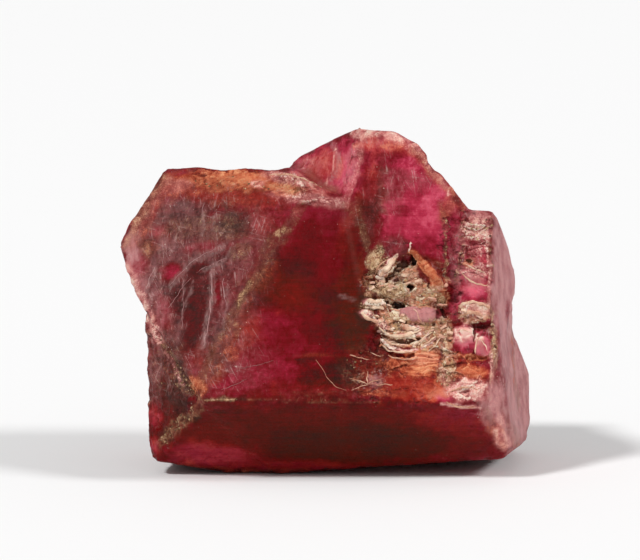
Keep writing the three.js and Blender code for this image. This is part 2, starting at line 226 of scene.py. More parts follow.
def put_points(mesh, points):
    """Moves the mesh's points and works out which way its faces look again."""
    mesh.vertices.foreach_set("co", points.astype(np.float32).ravel())
    mesh.update()


EDGE_ROUNDING = 1  # times that the points are drawn to their neighbours

links = column(skin.edges, "vertices", 2)
points, triangles = nearest(column(skin.vertices, "co", 3))
flat = softened((patch_area[triangles] > FLAT_PATCH).astype(float), links, 2)
points = softened(points, links, EDGE_ROUNDING)
put_points(skin, points)
print("points:", len(points), "on flat faces:", int((flat > 0.5).sum()))

# %% Measuring ridges and hollows
SHARP = 0.09 * MM  # how far a point on a sharp ridge stands out from its surroundings
SURROUNDINGS = 3  # how many points away they reach


def normals(mesh):
    """The way that each point of the mesh looks."""
    return column(mesh.vertex_normals, "vector", 3).astype(float)


def standing_out(points, ways, links):
    """How far each point stands out from the average of its surroundings."""
    return ((points - softened(points, links, SURROUNDINGS)) * ways).sum(1)


ways = normals(skin)
out = standing_out(points, ways, links)
ridge = softened(np.clip(out / SHARP, 0, 1), links)
hollow = softened(np.clip(-out / SHARP, 0, 1), links)
print("on ridges:", int((ridge > 0.4).sum()), "in hollows:", int((hollow > 0.4).sum()))

# %% [markdown]
# ## Random fields
# Two kinds of chance shape the skin. Clouds are soft, and suit worn and granular places. Flakes are
# not: a broken crystal comes off in small plates, each with its own height and slope, and the
# steps between them are sharp. Voronoi cells give just that, once space is squeezed so that the
# cells are wide and low.

# %% Clouds and flakes
def clouds(points, size, seed, octaves=1):
    """Soft random values from about -1 to 1 at the points, with lumps of a size in metres."""
    start = Vector((seed * 7.31, seed * 3.17, seed * 5.73))
    places = points / size
    return np.array([noise.fractal(start + Vector(p), 1.0, 2.0, octaves) for p in places])


def chance(cells, seed):
    """Three random numbers from -1 to 1 for each cell, the same for every point of the cell."""
    mixed = cells @ np.array([[12.99, 78.23, 37.72], [39.35, 11.14, 83.16], [73.16, 52.23, 9.15]])
    return 2 * np.modf(np.abs(np.sin(mixed + seed) * 43758.5453))[0] - 1


def flakes(points, size, seed):
    """Heights from about -1 to 1 of small tilted plates, each a (width, depth, height) in metres."""
    start = Vector((seed * 5.17, seed * 9.71, seed * 2.37))
    places = points / np.array(size)
    cells = np.array([noise.voronoi(start + Vector(p))[1][0] - start for p in places])
    random = chance(np.round(cells, 3), seed)
    slope = (places - cells) * random[:, [1, 2, 0]]
    return 0.6 * random[:, 0] + 0.9 * slope.sum(1)


sample = flakes(points[:2000], (1 * MM, 1 * MM, 0.5 * MM), 1)
print("flakes run from", round(sample.min(), 2), "to", round(sample.max(), 2))

# %% [markdown]
# ## Brushes
# Some forms and stains have a place of their own: a pale blade of crystal that stands up in the
# break, the holes beside it, a rusty ledge. They are laid on like paint, in uneven ovals and strokes
# whose places are millimetres across and up from the middle of the front view. A painted picture
# would be sharper, but it would smear round the sides. A layer on the points stays where it is from
# every side, and the material adds the grain.

# %% Ovals and strokes
RIM = (1.4, 0.5)  # a mark begins at the first and is full at the second, in radii
WOBBLE = {"coarse": (1.6 * MM, 0.26), "fine": (0.5 * MM, 0.12)}  # lump size, and mm that it shifts marks


def wobbly_view(points):
    """The points' places in the front view, shifted and stretched a little by clouds."""
    across, up = seen_from_front(points)
    shift = sum(clouds(points, size, seed, 2) * far for seed, (size, far) in enumerate(WOBBLE.values(), 31))
    uneven = 1 + 0.35 * clouds(points, 0.8 * MM, 33, 2)
    return {"across": across + shift, "up": up - 0.7 * shift, "uneven": uneven}


def fade(distance):
    """1 well inside a mark and 0 outside, with a soft rim."""
    share = np.clip((RIM[0] - distance) / (RIM[0] - RIM[1]), 0, 1)
    return share * share * (3 - 2 * share)


def oval(view, place, size, turn=0.0):
    """How much of an oval mark covers each point of the view."""
    across, up = view["across"] - place[0], view["up"] - place[1]
    c, s = math.cos(math.radians(turn)), math.sin(math.radians(turn))
    distance = np.hypot((across * c + up * s) / size[0], (up * c - across * s) / size[1])
    return fade(distance * view["uneven"])


def stroke(view, path, width):
    """How much of a stroke through the path's points covers each point of the view."""
    place = np.stack([view["across"], view["up"]], 1)
    distance = np.full(len(place), np.inf)
    for start, end in zip(np.array(path[:-1]), np.array(path[1:])):
        along = np.clip((place - start) @ (end - start) / ((end - start) @ (end - start)), 0, 1)
        nearest_spot = start + along[:, None] * (end - start)
        distance = np.minimum(distance, np.linalg.norm(place - nearest_spot, axis=1))
    return fade(distance / width * view["uneven"])


def brushed(layer, view, marks, reach):
    """The layer with marks laid over it: ovals (place, size, turn, value), strokes (path, width, value)."""
    for mark in marks:
        cover = oval(view, *mark[:3]) if len(mark) == 4 else stroke(view, *mark[:2])
        layer = layer + cover * reach * (mark[-1] - layer)
    return layer


def facing_front(ways):
    """1 where the skin faces the front view and 0 where it turns away."""
    tip = math.radians(VIEW["elevation"])
    towards = -ways[:, 1] * math.cos(tip) + ways[:, 2] * math.sin(tip)
    return np.clip(towards * 8, 0, 1)


reach = facing_front(ways)
print("points that face the front:", int((reach > 0.5).sum()))

# %% [markdown]
# ## A rounder outline
# The solid's corners meet in straight lines, but the real stone swells a little between them. Pulls
# move all the points behind a place of the front view together, a few tenths of a millimetre
# sideways and up, so that the outline bends and no face gets a step.

# %% Pulling the outline
PULLS = {  # place, size and turn in the front view, and mm to the right and up
    "left corner": ((-19.4, 3.6), (2.0, 3.0), 0, (-0.42, 0.0)),
    "upper left edge": ((-16.6, 7.8), (1.8, 3.6), -30, (-0.45, 0.3)),
    "top left corner": ((-14.0, 10.8), (3.0, 1.6), 0, (0.0, 0.35)),
    "crest": ((-9.6, 10.9), (4.4, 1.6), 0, (0.0, 0.3)),
    "left slope of the crown": ((0.4, 12.4), (4.0, 2.0), 25, (-0.1, 0.75)),
    "top of the crown": ((5.6, 14.6), (2.8, 1.4), 0, (0.0, 0.3)),
    "dent in the right slope": ((11.2, 11.4), (0.9, 0.9), 0, (-0.25, -0.15)),
    "lower left edge": ((-17.6, -2.4), (1.4, 4.0), 20, (-0.22, 0.0)),
    "foot": ((-17.2, -11.0), (1.6, 8.0), 0, (-0.25, 0.0)),
    "right plate": ((19.0, -0.6), (1.2, 3.4), 0, (0.2, 0.0)),
    "lower right corner": ((20.2, -15.4), (1.4, 2.0), 0, (0.3, 0.0)),
}


def pulled(points):
    """The points moved as the pulls say."""
    across, up = seen_from_front(points)
    calm_view = {"across": across, "up": up, "uneven": 1.0}
    for place, size, turn, (right, rise) in PULLS.values():
        cover = oval(calm_view, place, size, turn)
        points = points + cover[:, None] * np.array([right, 0, rise]) * MM
    return points


points = pulled(points)
view = wobbly_view(points)
print("pulls:", len(PULLS))

# %% [markdown]
# ## What stands up and what is hollow in the break
# The break is the busiest place of the stone. Its main forms are named here, each with the height in
# millimetres by which it stands above or below the surface around it. Laid over the flakes, they
# give the flakes an order: without them the break looks like gravel.

# %% Forms of the break
FORMS = {
    "granular lump": ((6.8, -0.9), (2.3, 0.9), 5, 0.4),
    "cream lump": ((5.4, -2.4), (1.1, 0.35), 0, 0.55),
    "lower cream lump": ((4.9, -3.5), (0.7, 0.5), 0, 0.4),
    "lilac plate": ((9.9, -3.4), (2.2, 0.8), -4, 0.35),
    "upper hole": ((9.2, 2.0), (0.3, 0.4), 0, -0.7),
    "shade under the blade": ([(8.5, 1.9), (6.7, -0.1)], 0.26, -0.5),
    "round hole": ((9.05, -0.75), (0.3, 0.42), -20, -1.0),
    "cave": ((7.8, -2.55), (0.6, 0.3), -15, -0.8),
    "slot": ((6.5, -2.3), (0.35, 0.2), 0, -0.6),
    "fold over the laminae": ([(8.1, -4.6), (9.4, -5.0)], 0.22, 0.35),
    "upper gap": ([(6.2, -5.6), (7.6, -6.2), (9.8, -5.9)], 0.22, -0.4),
    "lower gap": ([(6.0, -6.5), (7.4, -7.5), (9.4, -7.5)], 0.2, -0.4),
    "rusty ledge": ((10.6, 1.2), (0.5, 1.2), 45, 0.16),
    "ledge's foot": ((11.9, -0.7), (0.7, 1.5), 22, 0.2),
    "crack by the ledge": ([(12.1, -2.9), (12.6, -3.8)], 0.14, -0.35),
    "purple notch": ((13.5, -2.0), (0.55, 1.4), 0, -0.15),
    "column": ([(12.6, -4.2), (12.6, -8.2)], 0.3, 0.2),
    "left block": ((14.4, -5.7), (1.1, 1.0), 0, 0.4),
    "right block": ((16.3, -6.7), (0.9, 1.1), 0, 0.35),
    "gap between the blocks": ([(15.3, -4.9), (15.4, -7.2)], 0.14, -0.2),
    "shelf under the blocks": ((15.6, -7.9), (1.5, 0.3), 0, -0.12),
    "hole in the plate": ((14.9, 1.95), (0.28, 0.25), 0, -0.45),
    "plate's crust": ((15.5, -3.2), (1.6, 1.1), 0, 0.3),
    "crusted top": ((15.6, 5.2), (1.2, 1.2), 0, 0.15),
}
THREADS = {"first": -7.4, "step": -0.42, "count": 6, "from": 8.6, "to": 11.8, "width": 0.1, "height": 0.07}


def threads():
    """Level ribs, one under the other, in the lower part of the break."""
    levels = [THREADS["first"] + i * THREADS["step"] for i in range(THREADS["count"])]
    ends = (THREADS["from"], THREADS["to"])
    return [([(ends[0], up), (ends[1], up - 0.1)], THREADS["width"], THREADS["height"]) for up in levels]


forms = brushed(np.zeros(len(points)), view, [*threads(), *FORMS.values()], reach) * MM
forms *= softened(1 - flat, links, 2)
print("forms stand from", round(forms.min() / MM, 2), "to", round(forms.max() / MM, 2), "mm")

# %% Places in the break that split clean, with hardly a flake on them
CLEAN = [
    ((14.4, -5.7), (1.2, 1.1), 0, 1.0), ((16.3, -6.8), (1.0, 1.2), 0, 1.0),
    ((9.9, -3.4), (2.1, 0.8), -6, 0.9), ((15.5, -0.8), (1.5, 1.3), 0, 0.9),
    ((10.4, -8.3), (2.4, 1.4), 0, 0.6), ((10.0, -10.8), (4.8, 1.0), 2, 0.6),
    ((11.4, 0.2), (0.9, 2.2), 30, 0.8), ((15.2, -9.0), (2.0, 0.8), 0, 0.4),
    ((-7.0, 9.6), (5.0, 1.2), -2, 0.8),
]
clean = brushed(np.zeros(len(points)), view, CLEAN, reach)
print("points that split clean:", int((clean > 0.5).sum()))

# %% Wear and flakes, pressed into the skin
RELIEF = {
    "waves": 0.045 * MM,
    "ripple": 0.012 * MM,
    "nicks": 0.5 * MM,
    "plates": 0.2 * MM,
    "splits": 0.075 * MM,
    "grains": 0.035 * MM,
    "lumps": 0.2 * MM,
}
LUMP_SIZE = {"waves": 5 * MM, "ripple": 1.2 * MM, "nicks": 1.1 * MM, "grains": 0.3 * MM, "lumps": 0.8 * MM}
PLATE_SIZE = (1.8 * MM, 1.3 * MM, 0.8 * MM)
SPLIT_SIZE = (0.6 * MM, 0.5 * MM, 0.36 * MM)
CREST_HEIGHT = 0.1 * MM  # a point this far above its wider surroundings is on a crest
CREST_REACH = 8  # how many points away they reach


def relief(points, flat, ridge, clean):
    """How far each point moves out of the stone, in metres."""
    broken = 1 - flat
    waves = RELIEF["waves"] * clouds(points, LUMP_SIZE["waves"], 1)
    waves += RELIEF["ripple"] * clouds(points, LUMP_SIZE["ripple"], 2)
    nicks = -RELIEF["nicks"] * ridge * np.clip(clouds(points, LUMP_SIZE["nicks"], 3, 2) + 0.12, 0, 1)
    flaky = RELIEF["plates"] * flakes(points, PLATE_SIZE, 4)
    flaky += RELIEF["splits"] * flakes(points, SPLIT_SIZE, 5)
    grains = RELIEF["grains"] * clouds(points, LUMP_SIZE["grains"], 6, 2)
    lumps = RELIEF["lumps"] * clouds(points, LUMP_SIZE["lumps"], 7, 3)
    on_foot = in_view(points, ROUGH_VIEWS["foot"]) * broken
    flaky *= (1 - 0.6 * on_foot) * (1 - 0.85 * clean)
    return flat * waves + nicks + broken * (flaky + grains * (1 - 0.6 * clean)) + on_foot * lumps


heights = relief(points, flat, ridge, clean) + forms
local = np.clip((heights - softened(heights, links, CREST_REACH)) / CREST_HEIGHT, -1, 1)
points = points + ways * heights[:, None]
points[:, 2] = np.maximum(points[:, 2], 0.0)
put_points(skin, points)
skin.polygons.foreach_set("use_smooth", np.ones(len(skin.polygons), bool))
stone = bpy.data.objects.new("spinel_crystals", skin)
bpy.context.scene.collection.objects.link(stone)
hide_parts(STONE)
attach(stone, "root")
print("crests:", int((local > 0.5).sum()), "crevices:", int((local < -0.5).sum()))
print("the stone's size in mm:", [round(c / MM, 2) for c in stone.dimensions])

# %% [markdown]
# ## Laying out the colours
# Spinel is not one red. Where light gets in and comes back it glows crimson, where iron took its
# place it is nearly black, a film of tiny fractures turns it lilac, and rust and marble stain its
# edges orange, tan and cream. Each of these is a layer between 0 and 1 on the skin's points, laid on
# with the same brushes as the forms.

# %% How far the crystal glows, and where a film of fractures clouds it
GLOW = [
    # the upper left face: maroon, with crimson windows and brown patches
    ((-12.5, -1.0), (6.5, 9.5), 20, 0.2), ((-9.3, 8.4), (3.4, 0.5), 0, 0.42),
    ((-10.8, 7.4), (0.8, 1.2), 0, 0.4), ((-9.0, 9.4), (7.4, 1.9), -2, 0.56),
    ((-7.4, 5.6), (1.0, 1.3), -20, 0.2), ((-5.8, 5.6), (1.2, 1.6), -20, 0.55),
    ((-9.4, 5.6), (1.8, 1.2), 20, 0.12), ((-16.2, 4.9), (0.8, 0.5), 0, 0.62),
    ((-13.6, 6.8), (3.0, 1.1), 10, 0.17), ((-11.6, 3.3), (1.9, 0.5), 8, 0.5),
    ((-14.9, 0.8), (1.2, 0.8), 15, 0.62), ((-12.0, 1.0), (1.3, 0.8), 10, 0.1),
    ((-9.4, -1.6), (1.2, 3.0), -20, 0.3), ((-13.4, -1.3), (2.8, 0.8), 0, 0.12),
    ((-12.8, -3.0), (1.8, 2.6), 8, 0.12), ((-10.3, -1.4), (0.4, 1.8), 4, 0.38),
    ((-6.8, 2.4), (1.5, 3.0), -28, 0.38), ((-15.6, -3.6), (0.9, 2.2), 8, 0.62),
    ((-13.2, -5.6), (1.4, 2.6), 8, 0.14), ((-12.8, -8.6), (1.4, 1.6), 0, 0.5),
    ((-11.6, -4.0), (0.5, 2.6), 6, 0.18), ((-18.4, 1.6), (1.2, 1.6), 0, 0.6),
    # the front face: dark red at its top, brown at its right, crimson low on its left
    ((0.2, -2.5), (7.5, 9.5), 0, 0.32), ((-0.6, 6.6), (2.6, 0.9), 0, 0.58),
    ((1.2, 3.0), (2.6, 3.0), 0, 0.42), ((-1.6, 4.6), (1.6, 1.6), 0, 0.36),
    ((-2.6, 1.2), (2.2, 1.4), 0, 0.2), ((3.2, -1.6), (1.6, 2.2), 0, 0.26),
    ((-5.6, -0.6), (1.3, 2.6), -26, 0.22), ((-5.0, -4.9), (3.4, 1.9), -6, 0.56),
    ((-2.6, -5.8), (2.8, 1.2), -4, 0.46), ((0.2, -5.2), (1.8, 1.2), 0, 0.26),
    ((-6.8, -6.8), (2.6, 2.2), 0, 0.5), ((-4.0, -8.6), (4.8, 1.6), 4, 0.55),
    ((-1.6, -8.0), (1.6, 0.4), 0, 0.24), ((-0.8, -9.6), (1.4, 1.0), 0, 0.2),
    ((-8.4, -10.6), (2.8, 1.2), 0, 0.58), ((3.0, -4.2), (2.2, 2.8), 0, 0.14),
    ((1.0, -2.0), (1.6, 1.4), 0, 0.2), ((3.2, 1.4), (1.0, 2.0), 0, 0.24),
    ((2.6, 5.6), (0.7, 1.4), -20, 0.55), ((2.6, -9.4), (2.6, 1.5), 0, 0.08),
    ((3.0, -11.6), (5.6, 0.7), 0, 0.4), ((-3.4, -11.4), (3.2, 0.7), 0, 0.46),
    # the lower band: brown in its middle, partly painted shade as it faces down, bright red at both ends
    ((0.0, -15.6), (19.0, 4.0), 0, 0.3), ((-7.0, -14.4), (5.2, 1.4), -10, 0.26),
    ((3.4, -16.4), (9.4, 2.1), 1, 0.12), ((-11.2, -17.4), (5.2, 1.2), -4, 0.7),
    ((-3.0, -18.7), (7.0, 0.6), 0, 0.56), ((13.8, -13.9), (4.6, 1.3), 0, 0.56),
    ((15.4, -15.2), (2.0, 0.8), 0, 0.5), ((15.4, -16.8), (2.4, 1.0), 0, 0.34),
    ((-15.4, -17.8), (1.4, 1.0), 0, 0.5),
    # the foot
    ((-15.6, -10.5), (2.6, 7.0), -8, 0.26), ((-16.4, -13.6), (0.8, 1.3), 0, 0.72),
    ((-14.2, -12.0), (1.2, 2.0), 30, 0.08), ((-13.8, -9.4), (0.7, 2.6), 24, 0.1),
    ((-16.6, -16.4), (0.6, 0.8), 0, 0.7),
    # the crown, its shaded left side and its glossy far left
    ((9.2, 6.6), (5.2, 7.8), 0, 0.74), ((10.8, 4.6), (2.6, 3.0), -18, 0.78),
    ((8.2, 7.0), (0.9, 0.6), 0, 0.56), ((10.0, 8.6), (0.7, 1.2), 20, 0.68),
    ((9.0, 11.6), (1.5, 0.9), 0, 0.84), ((7.2, 12.4), (1.3, 0.9), 0, 0.58),
    ((7.4, 9.4), (1.8, 1.8), 0, 0.6), ((4.8, 6.4), (1.4, 5.6), -10, 0.28),
    ((7.2, 3.0), (2.0, 1.6), -30, 0.5), ((1.4, 11.2), (2.8, 2.8), 30, 0.84),
    ((2.8, 11.0), (0.9, 2.6), -10, 0.96), ((-1.2, 11.4), (1.8, 1.2), 20, 0.9),
    ((0.8, 9.3), (2.2, 0.8), 0, 0.88), ((5.0, 11.4), (1.1, 1.6), 0, 0.66),
    ((5.0, 9.2), (1.0, 1.4), 0, 0.56), ((13.0, 7.4), (0.9, 1.2), 0, 0.84),
    ((13.6, 2.4), (0.9, 3.6), 0, 0.7), ((11.8, 0.8), (0.7, 1.4), -30, 0.6),
    ((11.8, 8.0), (1.2, 2.6), -30, 0.9), ((6.6, 13.6), (3.0, 0.9), 0, 0.95),
    ((13.4, 7.2), (1.0, 1.6), -30, 0.74),
    # the right plate, from its cap down to the blocks below
    ((15.6, -1.0), (1.8, 8.4), 0, 0.74), ((15.8, 6.8), (1.9, 0.4), 0, 0.62),
    ((13.5, -2.0), (0.8, 1.6), 0, 0.8), ((15.6, -1.0), (1.5, 0.7), 0, 1.0),
    ((15.4, 0.6), (1.5, 0.8), 0, 0.9), ((15.8, -4.7), (2.2, 0.5), -12, 0.34),
    ((16.2, -8.0), (1.4, 0.4), -8, 0.5), ((14.4, -5.7), (1.2, 1.1), 0, 1.0),
    ((16.3, -6.8), (1.0, 1.2), 0, 1.0), ((12.7, -5.6), (0.7, 2.4), 0, 0.5),
    ((15.6, -9.2), (1.8, 0.7), 0, 0.8), ((18.6, 0.0), (1.7, 8.0), 0, 0.55),
    ((19.9, -11.0), (1.5, 8.0), 0, 0.5), ((17.6, -13.4), (1.2, 3.0), 14, 0.6),
    # inside the break
    ((9.4, -1.0), (3.4, 4.4), 0, 0.4), ((9.0, -9.4), (4.6, 2.6), 0, 0.6),
    ((6.0, -7.6), (1.6, 1.0), 0, 0.3), ((10.0, -11.0), (4.4, 0.9), 2, 0.62),
    ((12.4, -11.4), (1.8, 0.9), 0, 0.9), ((5.6, -8.8), (2.0, 0.8), 0, 0.4),
]
FILM = [
    ((-12.5, -1.0), (7.0, 10.0), 20, 0.28), ((-14.4, 6.8), (2.8, 1.1), 10, 0.3),
    ((-9.2, 3.4), (3.4, 0.9), 22, 0.22), ((-12.6, -1.0), (3.6, 1.4), 10, 0.14),
    ((-12.0, 1.0), (1.3, 0.8), 10, 0.04), ((-6.0, 5.6), (1.6, 1.6), -20, 0.24),
    ((-12.8, -3.6), (2.0, 3.0), 8, 0.04), ((-11.8, -6.4), (1.4, 1.0), 0, 0.22),
    ((-13.5, -5.8), (1.0, 1.8), 0, 0.02), ((-15.0, 7.2), (1.6, 1.2), 0, 0.3),
    ((-17.0, -1.6), (1.4, 3.0), 20, 0.4), ((-15.0, 3.6), (0.9, 0.6), 0, 0.5),
    ((-14.9, 0.8), (1.3, 0.9), 15, 0.0), ((-10.3, -1.0), (0.4, 1.8), 4, 0.04),
    ((-8.6, -2.2), (0.7, 3.0), -20, 0.24), ((-16.6, 1.6), (1.2, 2.2), 0, 0.34),
    ((-9.3, 8.4), (3.4, 0.5), 0, 0.16), ((-12.2, -8.4), (1.6, 1.4), 0, 0.22),
    ((-7.0, 2.4), (1.5, 2.8), -25, 0.27), ((0.6, -3.0), (7.0, 9.5), 0, 0.0),
    ((-1.8, 0.6), (1.6, 1.0), 0, 0.05), ((-6.4, -9.0), (2.4, 0.5), 20, 0.12),
    ((0.0, -16.0), (19.0, 4.0), 0, 0.0), ((6.8, 8.4), (1.8, 2.6), -10, 0.26),
    ((9.0, 10.0), (2.4, 1.2), 0, 0.24), ((9.2, 4.6), (1.4, 0.7), 0, 0.24),
    ((10.4, 4.8), (3.0, 3.2), 0, 0.06), ((5.0, 6.8), (1.0, 3.6), -6, 0.14),
    ((3.0, 6.4), (0.7, 1.4), -20, 0.16), ((1.4, 11.2), (2.8, 2.6), 30, 0.06),
    ((7.6, 3.2), (1.6, 1.2), -30, 0.22), ((13.7, 2.0), (0.8, 3.6), 0, 0.4),
    ((13.5, -1.8), (0.6, 1.5), 0, 0.3), ((9.9, -3.4), (2.1, 0.8), -6, 0.92),
    ((16.6, -13.2), (0.7, 2.0), 20, 0.6), ((-16.6, -8.0), (0.9, 4.6), 0, 0.3),
    ((-14.4, -5.0), (0.9, 1.6), 20, 0.3), ((15.4, 0.8), (1.4, 1.1), 0, 0.4),
    ((14.4, -5.7), (1.1, 1.0), 0, 0.5), ((16.3, -6.7), (0.9, 1.1), 0, 0.45),
    ((15.8, 6.6), (1.6, 0.5), 0, 0.5), ((12.5, -7.0), (0.5, 1.6), 0, 0.3),
    ((18.6, -15.6), (1.0, 1.6), 20, 0.6), ((17.6, -12.0), (0.9, 2.4), 10, 0.8),
    ((5.6, -10.2), (0.8, 0.7), 0, 0.5), ((18.7, 0.0), (1.6, 8.0), 0, 0.8),
    ((20.0, -11.0), (1.6, 8.0), 0, 0.78), ((-18.9, 3.2), (0.8, 1.8), 8, 0.85),
    ((3.0, 11.4), (0.5, 2.4), -10, 0.3), ((6.6, 13.8), (3.0, 0.6), 0, 0.2),
    ((18.8, -3.4), (0.16, 1.4), 0, 0.1),
]
print("marks of glow and film:", len(GLOW), len(FILM))

# %% Rust, crust and pale chips
ORANGE = [
    # the crest and the corners of the upper left face
    ((-9.2, 9.9), (6.2, 1.3), -2, 0.62), ((-8.0, 10.2), (2.8, 0.8), -4, 0.85),
    ((-14.6, 9.4), (2.4, 1.2), 0, 0.55), ([(-15.6, 9.4), (-17.6, 6.4), (-19.0, 3.8)], 1.1, 0.45),
    ((-3.6, 9.0), (1.6, 0.8), -10, 0.85), ((-14.4, 4.2), (1.8, 0.9), 10, 0.3),
    ((-0.8, 11.4), (2.0, 1.1), 25, 0.22), ((0.6, 9.0), (1.8, 0.7), 0, 0.5),
    ((-13.0, 4.6), (3.6, 0.6), 4, 0.22), ((-17.2, 3.2), (1.0, 1.2), 0, 0.45),
    ((-12.2, -10.6), (1.3, 0.9), -40, 0.72), ((-16.8, -4.2), (0.5, 1.2), 10, 0.5),
    ((-8.6, 4.4), (1.0, 0.5), 0, 0.3),
    # along the left edge of the front face
    ([(-5.0, 1.6), (-7.2, -1.6), (-9.2, -5.4), (-11.0, -9.4)], 1.0, 0.36),
    ((-9.0, -7.2), (1.0, 1.2), 0, 0.45), ((-6.2, 0.4), (1.2, 1.8), -30, 0.36),
    ((4.2, 1.2), (0.5, 2.6), 0, 0.34), ((-0.6, -7.6), (2.2, 0.3), 0, 0.4),
    # the break
    ([(9.4, 2.6), (10.8, 1.0), (11.8, -0.6)], 0.5, 0.8), ((12.0, -1.2), (0.8, 1.6), 20, 0.75),
    ((9.6, -0.4), (0.9, 0.6), 0, 0.7), ((10.4, -8.2), (2.5, 1.7), 0, 1.0),
    ((7.8, -8.4), (1.6, 0.9), 0, 0.6), ((14.8, -9.2), (2.2, 0.9), 0, 0.75),
    ((12.4, -11.0), (2.0, 0.9), 0, 0.7), ((12.4, -11.0), (1.8, 0.7), 0, 0.4),
    ((8.4, -6.4), (1.0, 0.3), 6, 0.85), ((9.9, -0.6), (0.8, 0.5), 0, 0.7),
    ((14.8, 1.7), (0.6, 0.5), 0, 0.85), ((15.6, -7.7), (1.5, 0.4), -4, 0.85),
    ((17.2, -9.6), (0.5, 1.0), 0, 0.5), ((6.6, -11.3), (2.6, 0.5), 0, 0.5),
    ((7.4, 1.6), (0.8, 0.6), 0, 0.4), ((12.4, -8.6), (0.6, 1.4), 0, 0.5),
    ((12.8, -5.4), (0.6, 2.2), 0, 0.5), ((13.4, -7.6), (0.8, 0.6), 0, 0.6),
    ((5.4, 1.6), (0.7, 1.6), 0, 0.4),
    # the crown's top and right edges
    ([(4.4, 14.3), (6.4, 14.3), (8.4, 13.7)], 0.6, 0.5), ((7.0, 13.2), (1.8, 0.5), -8, 0.5),
    ([(9.4, 13.2), (11.2, 10.8), (12.8, 9.2), (14.0, 7.6)], 0.8, 0.45),
    ((12.6, 7.4), (0.9, 2.0), -20, 0.5),
    # the lower band's rims and its right corner
    ([(-15.0, -18.6), (-8.0, -19.1), (2.0, -19.2)], 0.3, 0.4), ((18.0, -15.6), (0.7, 1.6), 20, 0.7),
    ([(19.0, -5.4), (19.4, -8.4), (19.4, -11.6)], 0.1, 0.55), ((16.9, -15.0), (0.3, 1.4), 20, 0.5),
]
TAN = [
    # olive grains on the upper left face and along its edges
    ((-9.4, 5.0), (2.4, 1.5), 24, 0.34), ((-13.2, 5.4), (3.2, 1.4), 6, 0.32),
    ((-8.6, 7.6), (3.4, 0.9), -6, 0.24), ((-8.0, 2.8), (1.6, 1.0), 30, 0.36),
    ((-5.0, 3.6), (0.8, 1.8), -30, 0.36), ([(-15.6, 10.2), (-18.0, 6.4), (-19.4, 3.6)], 0.6, 0.45),
    ((-17.4, 3.2), (0.9, 1.1), 0, 0.34),
    ([(-1.8, 7.4), (-3.4, 5.0), (-5.6, 1.5), (-7.4, -1.2), (-8.9, -3.6)], 0.6, 0.32),
    ((-3.9, 4.8), (0.8, 0.4), 30, 0.5),
    ([(-8.9, -3.6), (-10.4, -6.3), (-11.4, -8.5), (-12.0, -10.8)], 0.5, 0.32),
    ((-10.0, 9.6), (6.0, 0.9), -4, 0.3), ([(-7.0, -0.4), (-8.2, -2.6)], 0.3, 0.55),
    ((-8.4, -4.8), (0.5, 0.9), 0, 0.4),
    # the foot and the edges over it
    ((-15.2, -8.0), (2.0, 3.6), -12, 0.22),
    ([(-17.0, -5.2), (-14.8, -7.6), (-13.8, -9.8), (-11.9, -12.0)], 0.34, 0.38),
    ([(-12.0, -12.8), (-14.0, -14.4), (-16.0, -16.2)], 0.7, 0.42), ((-13.4, -10.6), (1.0, 1.5), 30, 0.34),
    ((-16.4, -13.6), (0.7, 1.0), 0, 0.05), ((-14.2, -12.0), (1.0, 1.3), 30, 0.12),
    # the upper edge of the lower band
    ([(-11.4, -12.1), (-9.6, -11.8), (-8.4, -11.9)], 0.22, 0.7),
    ([(-8.4, -11.9), (6.0, -12.3)], 0.22, 0.3), ((4.4, -8.6), (2.6, 2.6), 0, 0.22),
    ((0.0, -11.4), (5.0, 0.6), 0, 0.2),
    # between the front face and the crown
    ([(2.4, 7.6), (4.2, 5.2), (4.8, 2.6), (5.2, 0.6)], 0.4, 0.42), ((3.6, 6.8), (0.8, 1.6), 0, 0.3),
    # the break: grains round the blade, the lumps, a band down its right side
    ((5.8, 2.0), (1.1, 1.8), 0, 0.62), ((6.9, -0.9), (2.3, 1.0), 5, 0.66),
    ((5.2, -2.4), (1.6, 0.9), 0, 0.5), ((7.8, -4.6), (2.4, 0.6), -4, 0.45),
    ((11.2, -4.8), (1.0, 1.4), 0, 0.4), ((12.0, -1.9), (0.6, 1.0), 0, 0.6),
    ((12.5, -6.6), (0.4, 2.6), 0, 0.55), ((12.7, -9.8), (1.0, 1.0), 30, 0.5),
    ((8.6, -6.0), (2.6, 0.6), 0, 0.36),
    # the right plate: its crusted top, and the crust halfway down
    ((15.7, 5.2), (1.5, 1.3), 0, 0.48), ((15.6, -3.1), (1.9, 1.0), 4, 0.58),
    ([(17.0, 6.4), (17.1, 0.4)], 0.3, 0.36), ([(12.6, 4.6), (12.5, 0.4)], 0.2, 0.45),
    ([(14.3, 5.8), (14.1, 2.0), (13.6, 0.0)], 0.3, 0.4),
    ([(17.2, -3.0), (17.4, -8.0), (17.0, -10.4)], 0.25, 0.5),
    # the crown's right edge, the corner below
    ([(9.4, 13.2), (10.2, 12.2), (11.2, 10.8), (12.8, 9.2), (14.2, 7.4)], 0.5, 0.4),
    ([(12.0, 8.0), (12.6, 5.0)], 0.4, 0.4), ((17.0, -13.6), (0.5, 1.4), 25, 0.4),
    ((19.4, -15.6), (0.8, 1.6), 20, 0.4), ((18.4, -13.8), (0.8, 2.4), 20, 0.26),
    ([(19.2, -4.6), (19.8, -13.0)], 0.14, 0.4),
]
